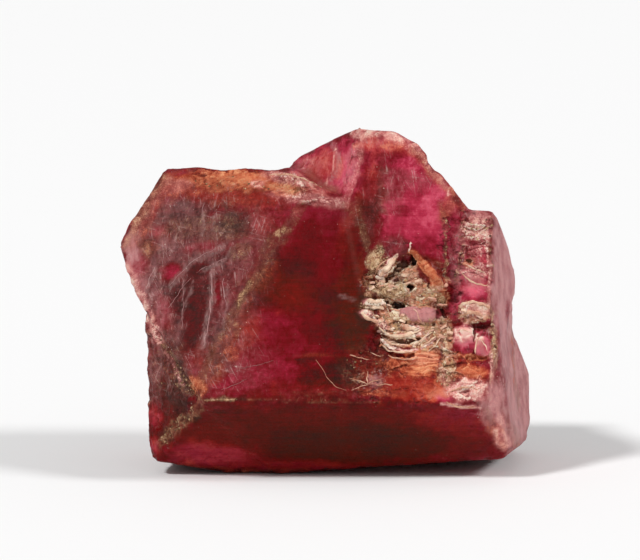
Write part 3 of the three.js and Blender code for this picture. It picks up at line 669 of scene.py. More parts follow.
PALE = [
    # the crest and the ridges that run from it
    ((-3.4, 10.2), (2.6, 0.7), -8, 0.5), ((-6.2, 9.6), (1.0, 0.5), 0, 0.5),
    ((-1.5, 9.6), (0.7, 0.5), 0, 0.62), ([(-4.8, 10.6), (-2.0, 10.3), (0.2, 8.9)], 0.3, 0.5),
    ((-4.2, 8.6), (1.4, 0.6), 0, 0.4), ([(-3.0, 8.2), (-1.0, 8.2), (0.8, 7.9), (2.6, 7.7)], 0.7, 0.48),
    ([(2.6, 8.0), (3.6, 11.0), (4.4, 14.4)], 0.5, 0.46), ((0.8, 9.2), (1.6, 0.5), 0, 0.4),
    ([(3.6, 14.6), (6.2, 14.8), (8.2, 14.0), (9.6, 13.0)], 0.6, 0.6),
    ((-1.4, 11.4), (1.6, 1.0), 20, 0.36), ((13.0, 7.4), (0.7, 1.0), 0, 0.3),
    ([(1.6, 13.2), (1.2, 11.4), (0.8, 9.6)], 0.12, 0.75), ((2.8, 12.2), (0.7, 0.9), 20, 0.34),
    ((-14.4, 9.4), (1.8, 0.9), 0, 0.4), ([(-15.4, 9.6), (-17.8, 6.0), (-19.2, 3.6)], 0.8, 0.3),
    ([(8.6, 13.6), (10.2, 12.4), (11.4, 10.6), (12.8, 9.2)], 0.4, 0.36),
    # the left end of the upper left face, and its lower left edge
    ((-18.9, 3.2), (0.7, 1.7), 8, 0.3),
    ([(-19.4, 1.4), (-18.2, -1.2), (-17.2, -3.4), (-16.2, -6.0)], 0.6, 0.55),
    ([(-15.6, -7.0), (-14.6, -8.6), (-13.8, -10.4)], 0.2, 0.4),
    # the break: the blade, the lumps, thin plates one above the other
    ([(7.7, 2.4), (5.9, 0.3)], 0.3, 1.0), ((5.2, -2.35), (1.2, 0.4), -6, 0.9),
    ((4.6, -3.5), (0.6, 0.5), 0, 0.7), ((7.4, -0.2), (0.9, 0.5), 20, 0.42),
    ((6.2, -4.4), (1.2, 0.4), -30, 0.6), ((9.2, -4.8), (1.0, 0.4), 0, 0.7),
    ([(5.8, -5.0), (7.4, -5.6), (9.9, -5.3)], 0.17, 0.95),
    ([(6.1, -5.9), (7.2, -6.9), (9.8, -7.0)], 0.15, 0.9), ([(9.3, -6.5), (11.0, -5.3)], 0.14, 0.9),
    ([(10.2, -6.9), (11.5, -5.8)], 0.14, 0.8), ([(9.3, -2.8), (10.0, -4.2)], 0.12, 0.8),
    ((10.6, -7.9), (1.8, 0.9), 0, 0.34), ((9.9, -3.4), (2.0, 0.7), -6, 0.42),
    # the right plate, and the blocks below with pale centres that are partly painted highlights
    ((15.4, 0.8), (1.6, 0.9), -20, 0.46), ((15.6, -0.6), (1.4, 0.35), 6, 0.3),
    ((14.3, -5.5), (1.2, 1.0), 0, 0.66), ((15.9, -6.2), (1.1, 0.5), -50, 0.66),
    ((16.8, -7.4), (0.5, 0.6), 0, 0.4), ((15.6, -3.0), (1.6, 0.9), 0, 0.74),
    ((14.6, -11.0), (2.4, 1.3), 6, 0.66), ((16.2, 6.5), (1.6, 0.4), 0, 0.42),
    ([(12.2, -12.4), (16.0, -12.8)], 0.2, 0.7), ((12.6, -9.8), (0.6, 1.2), 0, 0.4),
    ((15.6, 5.0), (1.6, 1.5), 0, 0.62), ((15.3, 2.9), (1.5, 0.9), 0, 0.38),
    ((16.0, 1.0), (0.9, 0.8), 0, 0.55), ([(16.8, 4.4), (17.0, -2.0)], 0.24, 0.5),
    # the chamfer at the right
    ((17.5, -11.6), (0.7, 2.2), 0, 0.34), ((17.9, -15.8), (0.7, 1.4), 20, 0.56),
    ((18.1, -14.0), (0.6, 1.0), 20, 0.5), ((18.5, -16.0), (0.7, 0.9), 20, 0.5),
    ((17.2, -9.0), (0.3, 2.0), 0, 0.5), ((16.4, -13.8), (0.4, 1.0), 0, 0.4),
    ((12.8, 8.6), (0.3, 0.3), 0, 0.8), ([(9.2, 3.6), (9.1, 2.9)], 0.1, 1.0),
]
print("marks of rust, crust and chips:", len(ORANGE), len(TAN), len(PALE))

# %% Thin white veils, and the mosaic of broken flakes
VEIL = [
    # thin bundles of hairs on the upper left face
    ([(-10.7, 0.8), (-10.9, -2.0), (-11.6, -6.6)], 0.3, 0.4), ([(-13.7, 0.0), (-13.8, -4.7)], 0.14, 0.25),
    ([(-9.4, 3.5), (-12.8, 1.8), (-14.9, -0.6)], 0.3, 0.3), ([(-16.4, 1.2), (-17.6, -1.4)], 0.16, 0.3),
    ([(-9.2, -1.0), (-9.4, -3.4), (-9.9, -5.4)], 0.16, 0.3), ([(-11.6, 6.8), (-11.9, 4.6)], 0.12, 0.4),
    ([(-10.6, 6.6), (-10.9, 4.4)], 0.1, 0.4), ([(-8.6, 3.4), (-9.8, 1.6), (-11.6, 0.9)], 0.14, 0.35),
    ([(-12.6, -0.2), (-13.4, -2.6)], 0.14, 0.3),
    # a few level ones on the front face, steep ones on the crown, and on the right plate
    ([(1.9, -1.5), (3.4, -2.0)], 0.2, 0.3), ([(1.3, 13.6), (1.9, 12.4), (1.3, 10.0)], 0.3, 0.5),
    ((15.4, 0.0), (1.6, 0.8), 0, 0.3),
]
MOSAIC = [
    ((8.8, -0.6), (3.9, 2.6), 0, 0.75), ((8.2, -4.8), (4.0, 2.0), 0, 0.78),
    ((11.0, -6.0), (1.8, 2.4), 0, 0.6), ((10.4, -8.6), (2.6, 1.5), 0, 0.2),
    ((9.9, -3.4), (1.9, 0.6), -4, 0.05), ((4.8, -5.6), (1.2, 1.5), 0, 0.0),
    ((15.6, 5.2), (1.5, 1.3), 0, 0.25), ((15.6, -3.2), (1.9, 1.1), 0, 0.75),
    ((14.6, -10.9), (2.4, 1.5), 0, 0.32), ((5.4, 1.6), (1.0, 2.0), 20, 0.5),
    ((12.9, -8.8), (0.9, 2.2), 0, 0.5), ((12.8, -5.6), (0.6, 2.2), 0, 0.5),
    ((5.0, -10.2), (2.6, 1.2), 0, 0.3), ((15.0, 1.8), (1.0, 0.7), 0, 0.4),
    ((17.4, -7.0), (0.5, 3.0), 0, 0.45), ((-2.4, 9.4), (2.8, 1.2), -6, 0.4),
    ((13.5, -2.0), (0.6, 1.6), 0, 0.1), ((10.8, 0.6), (1.0, 1.4), 40, 0.1),
]
CALM = [
    ((0.0, -16.0), (20.0, 3.6), 0, 0.85), ((0.6, 2.6), (4.6, 6.0), 0, 0.5),
    ((-3.0, -5.0), (4.6, 3.0), -6, 0.4), ((10.2, 5.6), (3.4, 4.6), -10, 0.6),
    ((18.6, 0.0), (1.7, 8.0), 0, 0.7), ((20.0, -11.0), (1.6, 8.0), 0, 0.6),
    ((-9.6, 10.0), (7.0, 1.2), -2, 0.55), ((1.4, 11.2), (2.8, 2.6), 30, 0.5),
    ((-18.6, 2.6), (1.0, 2.4), 8, 0.7),
]
WARM = [
    # the lower band, the brown part of the front face, and the upper left face's edges
    ((0.0, -15.6), (19.0, 3.8), 0, 0.7), ((-10.8, -17.4), (5.0, 1.0), -4, 0.4),
    ((-3.6, -1.0), (4.2, 2.2), -10, 0.65), ((3.4, -3.0), (2.2, 5.0), 0, 0.8),
    ((-11.0, -8.6), (1.4, 2.2), 20, 0.9), ((-8.8, 9.2), (7.5, 2.2), -2, 0.9),
    ((-16.6, 5.0), (2.0, 4.0), -30, 0.4), ((-6.0, 5.4), (1.9, 2.0), -20, 0.5),
    ((-7.6, -5.4), (1.6, 2.8), -20, 0.6), ((-15.4, -10.0), (2.6, 6.0), -8, 0.5),
    ((0.4, -10.8), (5.0, 1.0), 0, 0.5),
    # the break, the right plate below it, and the crown
    ((9.6, -9.6), (5.6, 2.6), 0, 0.95), ((14.8, -9.8), (2.6, 2.2), 0, 0.8),
    ((11.2, 0.4), (1.5, 2.3), 30, 0.9), ((0.2, 11.2), (3.0, 2.2), 30, 0.5),
    ((6.8, 13.2), (3.2, 1.1), -6, 0.6), ((5.0, 7.6), (1.6, 5.0), -10, 0.5),
    ((3.0, 5.0), (1.2, 3.0), -20, 0.6), ((15.6, 3.0), (1.6, 4.0), 0, 0.3),
]
print("marks of veils, mosaic, calm and warmth:", len(VEIL), len(MOSAIC), len(CALM), len(WARM))

# %% Laying them on
LAYERS = {
    "glow": GLOW, "film": FILM, "orange": ORANGE, "tan": TAN, "pale": PALE, "veil": VEIL, "mosaic": MOSAIC,
    "calm": CALM, "warm": WARM,
}
FRONT = {"glow": 0.5, "film": 0.1}  # what a layer is on the front between its marks; 0 if not named
FRONT_SHARE = 0.85  # how much of that the front takes on
PATCHES = {  # size of the patches of chance on the sides and the back, and their detail
    "glow": (7 * MM, 3),
    "film": (5 * MM, 3),
    "stain": (3 * MM, 3),
    "chip": (2 * MM, 3),
    "veil": (4 * MM, 2),
    "warm": (9 * MM, 2),
}
PATCH_SEED = 21


def unpainted(points, ways, ridge, broken):
    """What each layer is where no mark lies: on the sides, the top and the back."""
    patch = {}
    for seed, (name, (size, detail)) in enumerate(PATCHES.items(), PATCH_SEED):
        patch[name] = clouds(points, size, seed, detail)
    # Painted sheen: faces that look right take more of the lilac film.
    looks_right = np.clip(ways[:, 0] * 1.6 - 0.5, 0, 1)
    # Painted light from above: faces that look up glow more and are more orange.
    looks_up = np.clip(ways[:, 2] * 2 - 0.3, 0, 1)
    rust = 0.9 * patch["stain"] - 0.36 + 0.3 * broken
    return {
        "glow": np.clip(0.4 + 0.34 * patch["glow"] + 0.25 * looks_up, 0.05, 0.95),
        "film": np.clip(0.08 + 0.36 * patch["film"] + 0.5 * looks_right, 0, 0.7),
        "orange": np.clip(rust + 0.5 * ridge + 0.15 * looks_up, 0, 0.6),
        "tan": np.clip(0.4 * ridge + 0.4 * broken + 0.5 * patch["stain"] - 0.16, 0, 0.6),
        "pale": np.clip(0.35 * ridge + 0.9 * patch["chip"] - 0.45, 0, 0.7),
        "veil": np.clip(1.2 * patch["veil"] - 0.5, 0, 0.3) * (1 - reach),
        "mosaic": 0.5 * broken,
        "calm": 0.95 * (1 - broken),
        "warm": np.clip(0.45 + 0.9 * patch["warm"], 0, 1),
    }


def painted(points, ways, ridge, broken):
    """Every layer, with its marks laid where the skin faces the front."""
    layers = unpainted(points, ways, ridge, broken)
    for name, marks in LAYERS.items():
        start = layers[name] + FRONT_SHARE * reach * (FRONT.get(name, 0.0) - layers[name])
        layers[name] = brushed(start, view, marks, reach)
    layers["calm"] = np.maximum(layers["calm"], 0.9 * clean)
    return layers


def write_layer(mesh, name, values):
    """Stores a layer on the mesh's points, for the material to read."""
    layer = mesh.attributes.new(name, "FLOAT", "POINT")
    layer.data.foreach_set("value", values.astype(np.float32))


layers = painted(points, ways, ridge, 1 - flat)
layers.update(ridge=ridge, hollow=hollow, broken=1 - flat)
layers.update(crest=np.clip(local, 0, 1), crevice=np.clip(-local, 0, 1))
# The deepest holes of the break, where the material paints their shadow.
layers["gap"] = np.clip((-forms / MM - 0.3) / 0.4, 0, 1)
for name, values in layers.items():
    write_layer(skin, name, values)
print("layers:", {name: round(float(values.mean()), 2) for name, values in layers.items()})

# %% [markdown]
# ## Writing node trees as sums
# A node tree of forty Math nodes is hard to read and harder to change. A small class holds one
# output of a node, and its plus, minus and times make the Math nodes, so that a mask is written as
# it would be on paper. Everything else goes through one method: it makes a node, sets it up, and
# feeds its sockets with numbers or with other outputs.

# %% A small class for sockets
class Wire:
    """One output of a node, with arithmetic. Math makes Math nodes, so it is for values only."""

    def __init__(self, graph, socket):
        self.graph = graph
        self.socket = socket

    def math(self, operation, *others):
        """A Math node fed by this wire and the others."""
        feeds = dict(enumerate((self, *others)))
        return self.graph.node("ShaderNodeMath", {"operation": operation}, feeds)

    def __add__(self, other):
        return self.math("ADD", other)

    def __sub__(self, other):
        return self.math("SUBTRACT", other)

    def __mul__(self, other):
        return self.math("MULTIPLY", other)

    def __rsub__(self, other):
        return self.graph.node("ShaderNodeMath", {"operation": "SUBTRACT"}, {0: other, 1: self})

    __radd__ = __add__
    __rmul__ = __mul__

    def rising(self, low, high):
        """0 up to low, 1 from high, and smooth between."""
        settings = {"interpolation_type": "SMOOTHSTEP"}
        feeds = {"Value": self, "From Min": low, "From Max": high}
        return self.graph.node("ShaderNodeMapRange", settings, feeds)

    def spread(self, gain):
        """The same value with more contrast about one half."""
        return self * gain + (0.5 - 0.5 * gain)


class Graph:
    """A material's node tree."""

    def __init__(self, name):
        self.material = bpy.data.materials.new(name)
        self.material.use_nodes = True
        self.tree = self.material.node_tree
        self.surface = self.tree.nodes["Principled BSDF"]

    def feed(self, socket, value):
        """Links a wire to a socket, or sets the socket's own value."""
        if isinstance(value, Wire):
            self.tree.links.new(value.socket, socket)
        else:
            socket.default_value = value

    def finish(self, **finish):
        """Feeds the surface's own sockets, named with underscores for spaces. Gives the material."""
        for name, value in finish.items():
            self.feed(self.surface.inputs[name.replace("_", " ")], value)
        return self.material

    def node(self, kind, settings=None, feeds=None, output=0):
        """A node of a kind: its settings first, then what feeds its sockets. Gives one output."""
        node = self.tree.nodes.new(kind)
        for name, value in (settings or {}).items():
            if name == "stops":
                self.set_stops(node.color_ramp, value)
            else:
                setattr(node, name, value)
        for name, value in (feeds or {}).items():
            self.feed(self.socket_of(node.inputs, name), value)
        return Wire(self, self.socket_of(node.outputs, output))

    @staticmethod
    def socket_of(sockets, name):
        """A socket by its number, its identifier or its name."""
        if isinstance(name, int):
            return sockets[name]
        return next((s for s in sockets if s.identifier == name), None) or sockets[name]

    @staticmethod
    def set_stops(ramp, stops):
        """Sets a colour ramp's stops, each a place and a colour."""
        while len(ramp.elements) < len(stops):
            ramp.elements.new(1.0)
        for element, (place, colour) in zip(ramp.elements, stops):
            element.position = place
            element.color = (*colour, 1.0)

    def layer(self, name):
        """One of the mesh's layers."""
        return self.node("ShaderNodeAttribute", {"attribute_name": name}, output="Fac")

    def ramp(self, stops, level):
        """The colour at a level of a row of stops."""
        return self.node("ShaderNodeValToRGB", {"stops": stops}, {"Fac": level})

    def mixed(self, below, above, share):
        """One colour over another."""
        feeds = {"Factor_Float": share, "A_Color": below, "B_Color": above}
        return self.node("ShaderNodeMix", {"data_type": "RGBA"}, feeds, "Result_Color")

    def together(self, x, y, z):
        """Three values as one vector."""
        return self.node("ShaderNodeCombineXYZ", feeds={0: x, 1: y, 2: z})

    def scaled(self, vector, by):
        """A vector multiplied part by part."""
        return self.node("ShaderNodeVectorMath", {"operation": "MULTIPLY"}, {0: vector, 1: by})

    def moved(self, vector, by):
        """A vector with another added."""
        return self.node("ShaderNodeVectorMath", {"operation": "ADD"}, {0: vector, 1: by})

    def millimetres(self):
        """The place on the object, in millimetres."""
        return self.scaled(self.node("ShaderNodeTexCoord", output="Object"), (1 / MM, 1 / MM, 1 / MM))

    def drift(self, place, scale):
        """A vector that wanders from place to place, each part from -0.5 to 0.5."""
        feeds = {"Vector": place, "Scale": scale, "Detail": 2.0}
        three_clouds = self.node("ShaderNodeTexNoise", feeds=feeds, output="Color")
        return self.moved(three_clouds, (-0.5, -0.5, -0.5))

    def cloud(self, place, scale, detail=3.0, roughness=0.5, distortion=0.0):
        """Soft noise, from 0 to 1, with lumps of 1/scale."""
        feeds = {"Vector": place, "Scale": scale, "Detail": detail, "Roughness": roughness}
        return self.node("ShaderNodeTexNoise", feeds={**feeds, "Distortion": distortion})

    def bump(self, height, strength, distance):
        """A dented surface, no deeper than the distance in metres."""
        feeds = {"Strength": strength, "Distance": distance, "Height": height}
        return self.node("ShaderNodeBump", feeds=feeds)


def colour(red, green, blue):
    """A colour socket's four numbers."""
    return (red, green, blue, 1.0)


print("node trees are written with", ", ".join(name for name in vars(Graph) if name[0] != "_"))

# %% [markdown]
# ## The spinel
# The material lays its colours in the order in which they lie on the stone: the glow of the crystal
# first, then films inside it, then stains, then the crust on top, and last painted shade and glints.
# Every layer's border is broken up by noise before it is used, because paint on points a third of a
# millimetre apart is soft, and the real borders are crisp and ragged.

# %% The spinel's colours, from the darkest to the palest of each kind
BODY_STOPS = [
    (0.0, (0.036, 0.008, 0.006)), (0.2, (0.08, 0.004, 0.004)), (0.4, (0.14, 0.002, 0.004)),
    (0.6, (0.22, 0.006, 0.018)), (0.8, (0.4, 0.022, 0.055)), (1.0, (0.66, 0.1, 0.16)),
]
WARM_STOPS = [
    (0.0, (0.045, 0.012, 0.006)), (0.2, (0.085, 0.007, 0.002)), (0.4, (0.15, 0.006, 0.003)),
    (0.6, (0.27, 0.014, 0.007)), (0.8, (0.5, 0.07, 0.035)), (1.0, (0.74, 0.22, 0.13)),
]
RUST_STOPS = [
    (0.15, (0.12, 0.022, 0.01)), (0.35, (0.3, 0.055, 0.022)),
    (0.55, (0.58, 0.14, 0.06)), (0.8, (0.84, 0.36, 0.18)),
]
CRUST_STOPS = [
    (0.12, (0.05, 0.03, 0.018)), (0.3, (0.17, 0.1, 0.055)), (0.5, (0.46, 0.27, 0.14)),
    (0.68, (0.72, 0.5, 0.3)), (0.85, (0.9, 0.76, 0.56)),
]
CHIP_STOPS = [
    (0.15, (0.42, 0.1, 0.1)), (0.35, (0.66, 0.24, 0.22)),
    (0.55, (0.82, 0.42, 0.36)), (0.8, (0.92, 0.76, 0.62)),
]
MOSAIC_STOPS = [  # not a row from dark to pale: neighbouring flakes differ
    (0.0, (0.12, 0.045, 0.02)), (0.14, (0.34, 0.17, 0.08)), (0.28, (0.66, 0.46, 0.25)),
    (0.42, (0.62, 0.2, 0.09)), (0.56, (0.78, 0.46, 0.32)), (0.68, (0.42, 0.15, 0.07)),
    (0.8, (0.82, 0.62, 0.39)), (1.0, (0.98, 0.88, 0.68)),
]
HAZE_FILM = colour(0.47, 0.215, 0.215)
SCRATCH = colour(0.5, 0.32, 0.3)
# the colour of the painted glints and highlights
GLINT = colour(0.96, 0.82, 0.68)
VEIN = colour(0.36, 0.24, 0.13)
# painted shade for the seams, crevices and hollows
SHADE = colour(0.13, 0.035, 0.02)
# painted shadow for the deepest holes of the break
HOLE_SHADOW = colour(0.04, 0.014, 0.008)
SCRATCH_WAYS = {8: 1.0, 32: 0.8, -18: 0.7, 78: 0.6}  # turn from upright in degrees: how strong
SPINEL_FINISH = {
    "IOR": 1.72,
    "Specular_IOR_Level": 0.03,
    "Coat_Roughness": 0.22,
    "Subsurface_Weight": 0.08,
    "Subsurface_Radius": (1.0, 0.2, 0.15),
    "Subsurface_Scale": 0.8 * MM,
}
print("turns of the scratches in degrees:", list(SCRATCH_WAYS))


# %% Noise, scratches and veins
def grains_of(grit, layer, softness=0.05):
    """Grains that cover as much of a place as its layer says: none at 0, nearly all at 1."""
    return (grit + 0.75 * layer).rising(0.9 - softness, 0.9 + softness)


def streaks(g, mm, turn, stretch, low, high):
    """Straight lines that run one way across the front, as noise that is pulled out lengthways."""
    feeds = {"Vector": mm, "Rotation": (0, math.radians(turn), 0)}
    turned = g.node("ShaderNodeVectorRotate", {"rotation_type": "EULER_XYZ"}, feeds)
    lines = g.cloud(g.moved(g.scaled(turned, stretch), (turn * 7.3, 0, 0)), 1.0, 2.0, 0.5)
    return lines.rising(low, high)


def scratches(g, mm, stretch, low, high):
    """Streaks in all the ways in which the stone is scratched."""
    return sum(streaks(g, mm, turn, stretch, low, high) * share for turn, share in SCRATCH_WAYS.items())


def veins(g, place, scale, width):
    """Thin lines that wander: where soft noise passes through one half."""
    return (g.cloud(place, scale, 1.0, 0.5, 1.2) - 0.5).math("ABSOLUTE").rising(width, 0.3 * width)


class Fields:
    """The noise and the measured layers that all the colours use; noise scales are lumps to a mm."""

    def __init__(self, g):
        self.mm = g.millimetres()
        self.wide = g.cloud(self.mm, 0.3, 4.0, 0.6).spread(1.8)
        self.mottle = g.cloud(self.mm, 1.1, 5.0, 0.65, 0.6).spread(2.0)
        self.grain = g.cloud(self.mm, 3.2, 4.0, 0.7).spread(2.0)
        self.fine = g.cloud(self.mm, 8.0, 3.0, 0.7).spread(2.0)
        self.lines = g.cloud(g.scaled(self.mm, (0.22, 0.5, 5.0)), 1.0, 4.0, 0.7).spread(1.8)
        self.broken = g.layer("broken")
        self.crevice = g.layer("crevice")
        self.crest = g.layer("crest")
        self.film = g.layer("film")
        self.calm = g.layer("calm")
        self.restless = 1 - 0.8 * self.calm
        uneven = 0.35 * self.mottle + 0.35 * self.grain + 0.3 * self.fine - 0.5
        self.grit = 0.5 + uneven * self.restless
        wear = 0.4 * (self.fine - 0.5) + 0.3 * (self.mottle - 0.5)
        # paler on crests and darker in crevices: painted light and shade
        self.tone = wear * self.restless + 0.35 * self.crest - 0.3 * self.crevice


# %% The crystal, and what clouds it
def crystal(g, f):
    """The stone's own red, from nearly black to rose, with its growth lines."""
    glow = g.layer("glow")
    level = glow + (0.36 * (f.mottle - 0.5) + 0.26 * (f.grain - 0.5)) * f.restless
    # darker in the crevices: painted shade
    level = level + 0.2 * (f.wide - 0.5) + 0.26 * (f.lines - 0.5) * (1.15 - glow) - 0.15 * f.crevice
    warm = (g.layer("warm") + 0.5 * (f.wide - 0.5)).rising(0.15, 0.85)
    return g.mixed(g.ramp(BODY_STOPS, level), g.ramp(WARM_STOPS, level), warm)


def film_cover(g, f):
    """How much of each place the film of fine fractures covers."""
    drawn = streaks(g, f.mm, 8, (2.4, 0.5, 0.6), 0.3, 0.7)
    patchy = 0.6 + (0.8 * (f.mottle - 0.5) + 0.45 * (f.grain - 0.5)) * f.restless
    return (f.film * (0.05 + patchy + 0.5 * drawn)).rising(0.0, 1.0)


def scratched(g, f, base):
    """Hairs over the film, and wisps in the veils."""
    hairs = scratches(g, f.mm, (7.0, 0.35, 0.3), 0.62, 0.7)
    hairs = hairs * f.film.rising(0.02, 0.25) * f.mottle.rising(0.35, 0.7)
    wisps = scratches(g, f.mm, (5.0, 0.12, 0.3), 0.5, 0.6)
    veiled = 0.55 * hairs + g.layer("veil") * (0.3 + 0.3 * wisps)
    return g.mixed(base, SCRATCH, veiled.math("MINIMUM", 0.5))


# %% Stains, crust and flakes
def laid(g, f, base, stops, layer, crisp):
    """A stain over the base, soft where it soaked in, with crisp grains on top. Gives the grains too."""
    soaked = (layer * (0.4 + 1.1 * f.grit)).rising(0.03, 0.95)
    grains = grains_of(f.grit, layer) * crisp
    level = 0.1 + 0.5 * layer + 0.16 * grains + f.tone
    return g.mixed(base, g.ramp(stops, level), (0.9 * soaked).math("MAXIMUM", grains)), grains


def mosaic(g, f, base, bent):
    """Broken flakes over the base, each of a colour of its own."""
    cell = g.node("ShaderNodeTexVoronoi", feeds={"Vector": bent, "Scale": 1.0}, output="Color")
    pick = g.node("ShaderNodeSeparateColor", feeds={0: cell})
    # each flake paler on its crest and darker in its crevices: painted light and shade
    level = 0.7 * pick + 0.5 * (f.grit - 0.25) + 0.35 * f.crest - 0.25 * f.crevice
    cover = (g.layer("mosaic") + 0.9 * (f.grit - 0.5)).rising(0.25, 0.65) * 0.85
    return g.mixed(base, g.ramp(MOSAIC_STOPS, level), cover)


def laced(g, f, base):
    """Thin olive veins where crust or film lies."""
    stained = g.layer("tan").rising(0.08, 0.4).math("MAXIMUM", f.film.rising(0.1, 0.35) * 0.5)
    lace = veins(g, f.mm, 0.55, 0.016).math("MAXIMUM", veins(g, f.mm, 1.3, 0.022) * 0.7)
    cover = lace * stained * f.mottle.rising(0.35, 0.7) * (1 - 0.7 * f.calm) * 0.45
    return g.mixed(base, VEIN, cover)


# %% Shade and light on single flakes
def shaded(g, f, base, seam):
    """Painted shade in flake seams, crevices and hollows, and painted shadow in the break's holes."""
    seams = seam.rising(0.1, 0.0) * g.layer("mosaic").rising(0.1, 0.7) * f.grain.rising(0.3, 0.7)
    deep = f.crevice.rising(0.1, 0.75) * f.broken * (0.2 + 0.6 * g.layer("mosaic").rising(0.3, 0.6))
    base = g.mixed(base, SHADE, (0.6 * seams).math("MAXIMUM", deep))
    base = g.mixed(base, SHADE, g.layer("hollow").rising(0.1, 0.9) * 0.5)
    return g.mixed(base, HOLE_SHADOW, g.layer("gap").rising(0.1, 0.8) * 0.85)


def glinting(g, f, base):
    """Painted glints as single bright dots, and painted highlights on the crests of the flakes."""
    dots = g.node("ShaderNodeTexVoronoi", feeds={"Vector": f.mm, "Scale": 1.5}, output="Distance")
    lone = g.cloud(f.mm, 0.6, 2.0, 0.6).rising(0.46, 0.6) * (0.2 + 0.8 * f.film.rising(0.0, 0.2))
    glint = dots.rising(0.12, 0.06) * lone * f.fine.rising(0.4, 0.6)
    shine = f.crest.rising(0.35, 0.9) * g.layer("mosaic").rising(0.2, 0.6) * f.grain.rising(0.5, 0.75)
    return g.mixed(base, GLINT, (glint * 0.5).math("MAXIMUM", shine * 0.6))


# %% The spinel's material
def spinel_material():
    """All the layers, one over the other, and how rough, glossy and dented they are."""
    g = Graph("spinel")
    f = Fields(g)
    cloudy = film_cover(g, f)
    base = scratched(g, f, g.mixed(crystal(g, f), HAZE_FILM, cloudy))
    base, rust = laid(g, f, base, RUST_STOPS, g.layer("orange"), 0.6)
    wander = g.scaled(g.drift(f.mm, 1.5), (1.4, 1.4, 1.4))
    bent = g.moved(g.scaled(f.mm, (1.1, 1.1, 1.7)), wander)
    seam = g.node("ShaderNodeTexVoronoi", {"feature": "DISTANCE_TO_EDGE"}, {"Vector": bent, "Scale": 1.0})
    base = mosaic(g, f, base, bent)
    base, crust = laid(g, f, base, CRUST_STOPS, g.layer("tan"), 0.75 + 0.2 * f.broken)
    base = laced(g, f, base)
    pale = g.layer("pale") + 0.12 * g.layer("ridge")
    base, _ = laid(g, f, base, CHIP_STOPS, pale, 0.6 + 0.3 * f.broken)
    base = glinting(g, f, shaded(g, f, base, seam))

    rough = 0.3 + 0.25 * crust + 0.2 * cloudy + 0.2 * (f.mottle - 0.5) + 0.12 * rust
    coat = 0.5 * g.layer("mosaic") * (1 - 0.6 * crust)
    height = 0.4 * f.grain + 0.3 * f.fine + 0.25 * f.lines + 0.4 * crust * f.fine
    height = height + 0.5 * seam.rising(0.0, 0.12) * f.broken
    dents = g.bump(height, 0.6, 0.1 * MM)
    return g.finish(Base_Color=base, Roughness=rough, Coat_Weight=coat, Normal=dents, **SPINEL_FINISH)


skin.materials.clear()
skin.materials.append(spinel_material())
print("spinel nodes:", len(skin.materials[0].node_tree.nodes))

# %% [markdown]
# ## Crumbs and splinters
# The stone was broken out of marble. Crumbs of it still cling to the rough places, and thin
# splinters of spinel stand in the break, mostly level, like pages. There are too many to place by
# hand, so a small tree of geometry nodes scatters each kind over the skin, thickest where the layers
# say that crust or flakes lie, and the scattered pieces become a plain mesh.

# %% A tree that scatters
TONE_SEED = 9


class Scatter(Graph):
    """A geometry tree that takes a mesh and named sizes, and gives a mesh."""

    def __init__(self, name, sizes):
        self.sizes = sizes
        self.tree = bpy.data.node_groups.new(name, "GeometryNodeTree")
        face = self.tree.interface
        face.new_socket("Geometry", in_out="INPUT", socket_type="NodeSocketGeometry")
        for size in sizes:
            face.new_socket(size, in_out="INPUT", socket_type="NodeSocketFloat")
        face.new_socket("Geometry", in_out="OUTPUT", socket_type="NodeSocketGeometry")
        self.inputs = self.tree.nodes.new("NodeGroupInput")
        self.outputs = self.tree.nodes.new("NodeGroupOutput")

    def given(self, name):
        """One of the tree's inputs."""
        return Wire(self, self.inputs.outputs[name])

    def layer(self, name):
        """One of the skin's layers."""
        return self.node("GeometryNodeInputNamedAttribute", feeds={"Name": name})

    def above(self, height):
        """1 where the mesh is higher than that, else 0."""
        place = self.node("GeometryNodeInputPosition")
        up = self.node("ShaderNodeSeparateXYZ", feeds={0: place}, output="Z")
        return up.math("GREATER_THAN", height)

    def chance(self, low, high, seed):
        """A random number, or a random vector, for each point."""
        kind, first, output = ("FLOAT_VECTOR", 0, 0) if isinstance(low, tuple) else ("FLOAT", 2, 1)
        feeds = {first: low, first + 1: high, "Seed": seed}
        return self.node("FunctionNodeRandomValue", {"data_type": kind}, feeds, output)

    def scattered(self, density, seed):
        """Points over the given mesh, so many to a square metre."""
        feeds = {"Mesh": self.given("Geometry"), "Density": density, "Seed": seed}
        return self.node("GeometryNodeDistributePointsOnFaces", feeds=feeds, output="Points")

    def placed(self, points, shape, turn, size):
        """A copy of the shape on each point, each with a tone of its own."""
        feeds = {"Points": points, "Instance": shape, "Rotation": turn, "Scale": size}
        copies = self.node("GeometryNodeInstanceOnPoints", feeds=feeds)
        settings = {"data_type": "FLOAT", "domain": "INSTANCE"}
        feeds = {"Geometry": copies, "Name": "tone", "Value": self.chance(0.0, 1.0, TONE_SEED)}
        return self.node("GeometryNodeStoreNamedAttribute", settings, feeds)

    def made_real(self, copies, material):
        """Makes the copies real and gives them their material."""
        real = self.node("GeometryNodeRealizeInstances", feeds={"Geometry": copies})
        dressed = self.node("GeometryNodeSetMaterial", feeds={"Geometry": real, "Material": material})
        self.feed(self.outputs.inputs["Geometry"], dressed)


def grown(name, scatter):
    """The plain mesh that a scatter makes of the stone's skin, as a piece of the part."""
    piece = bpy.data.objects.new(name, skin.copy())
    bpy.context.scene.collection.objects.link(piece)
    modifier = piece.modifiers.new("scatter", "NODES")
    modifier.node_group = scatter.tree
    for item in scatter.tree.interface.items_tree:
        if item.name in scatter.sizes:
            modifier[item.identifier] = scatter.sizes[item.name]
    made = bpy.data.meshes.new_from_object(piece.evaluated_get(bpy.context.evaluated_depsgraph_get()))
    piece.modifiers.clear()
    piece.data = made
    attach(piece, "root")
    triangles = sum(len(face.vertices) - 2 for face in made.polygons)
    print(name, "triangles:", triangles)
    return piece


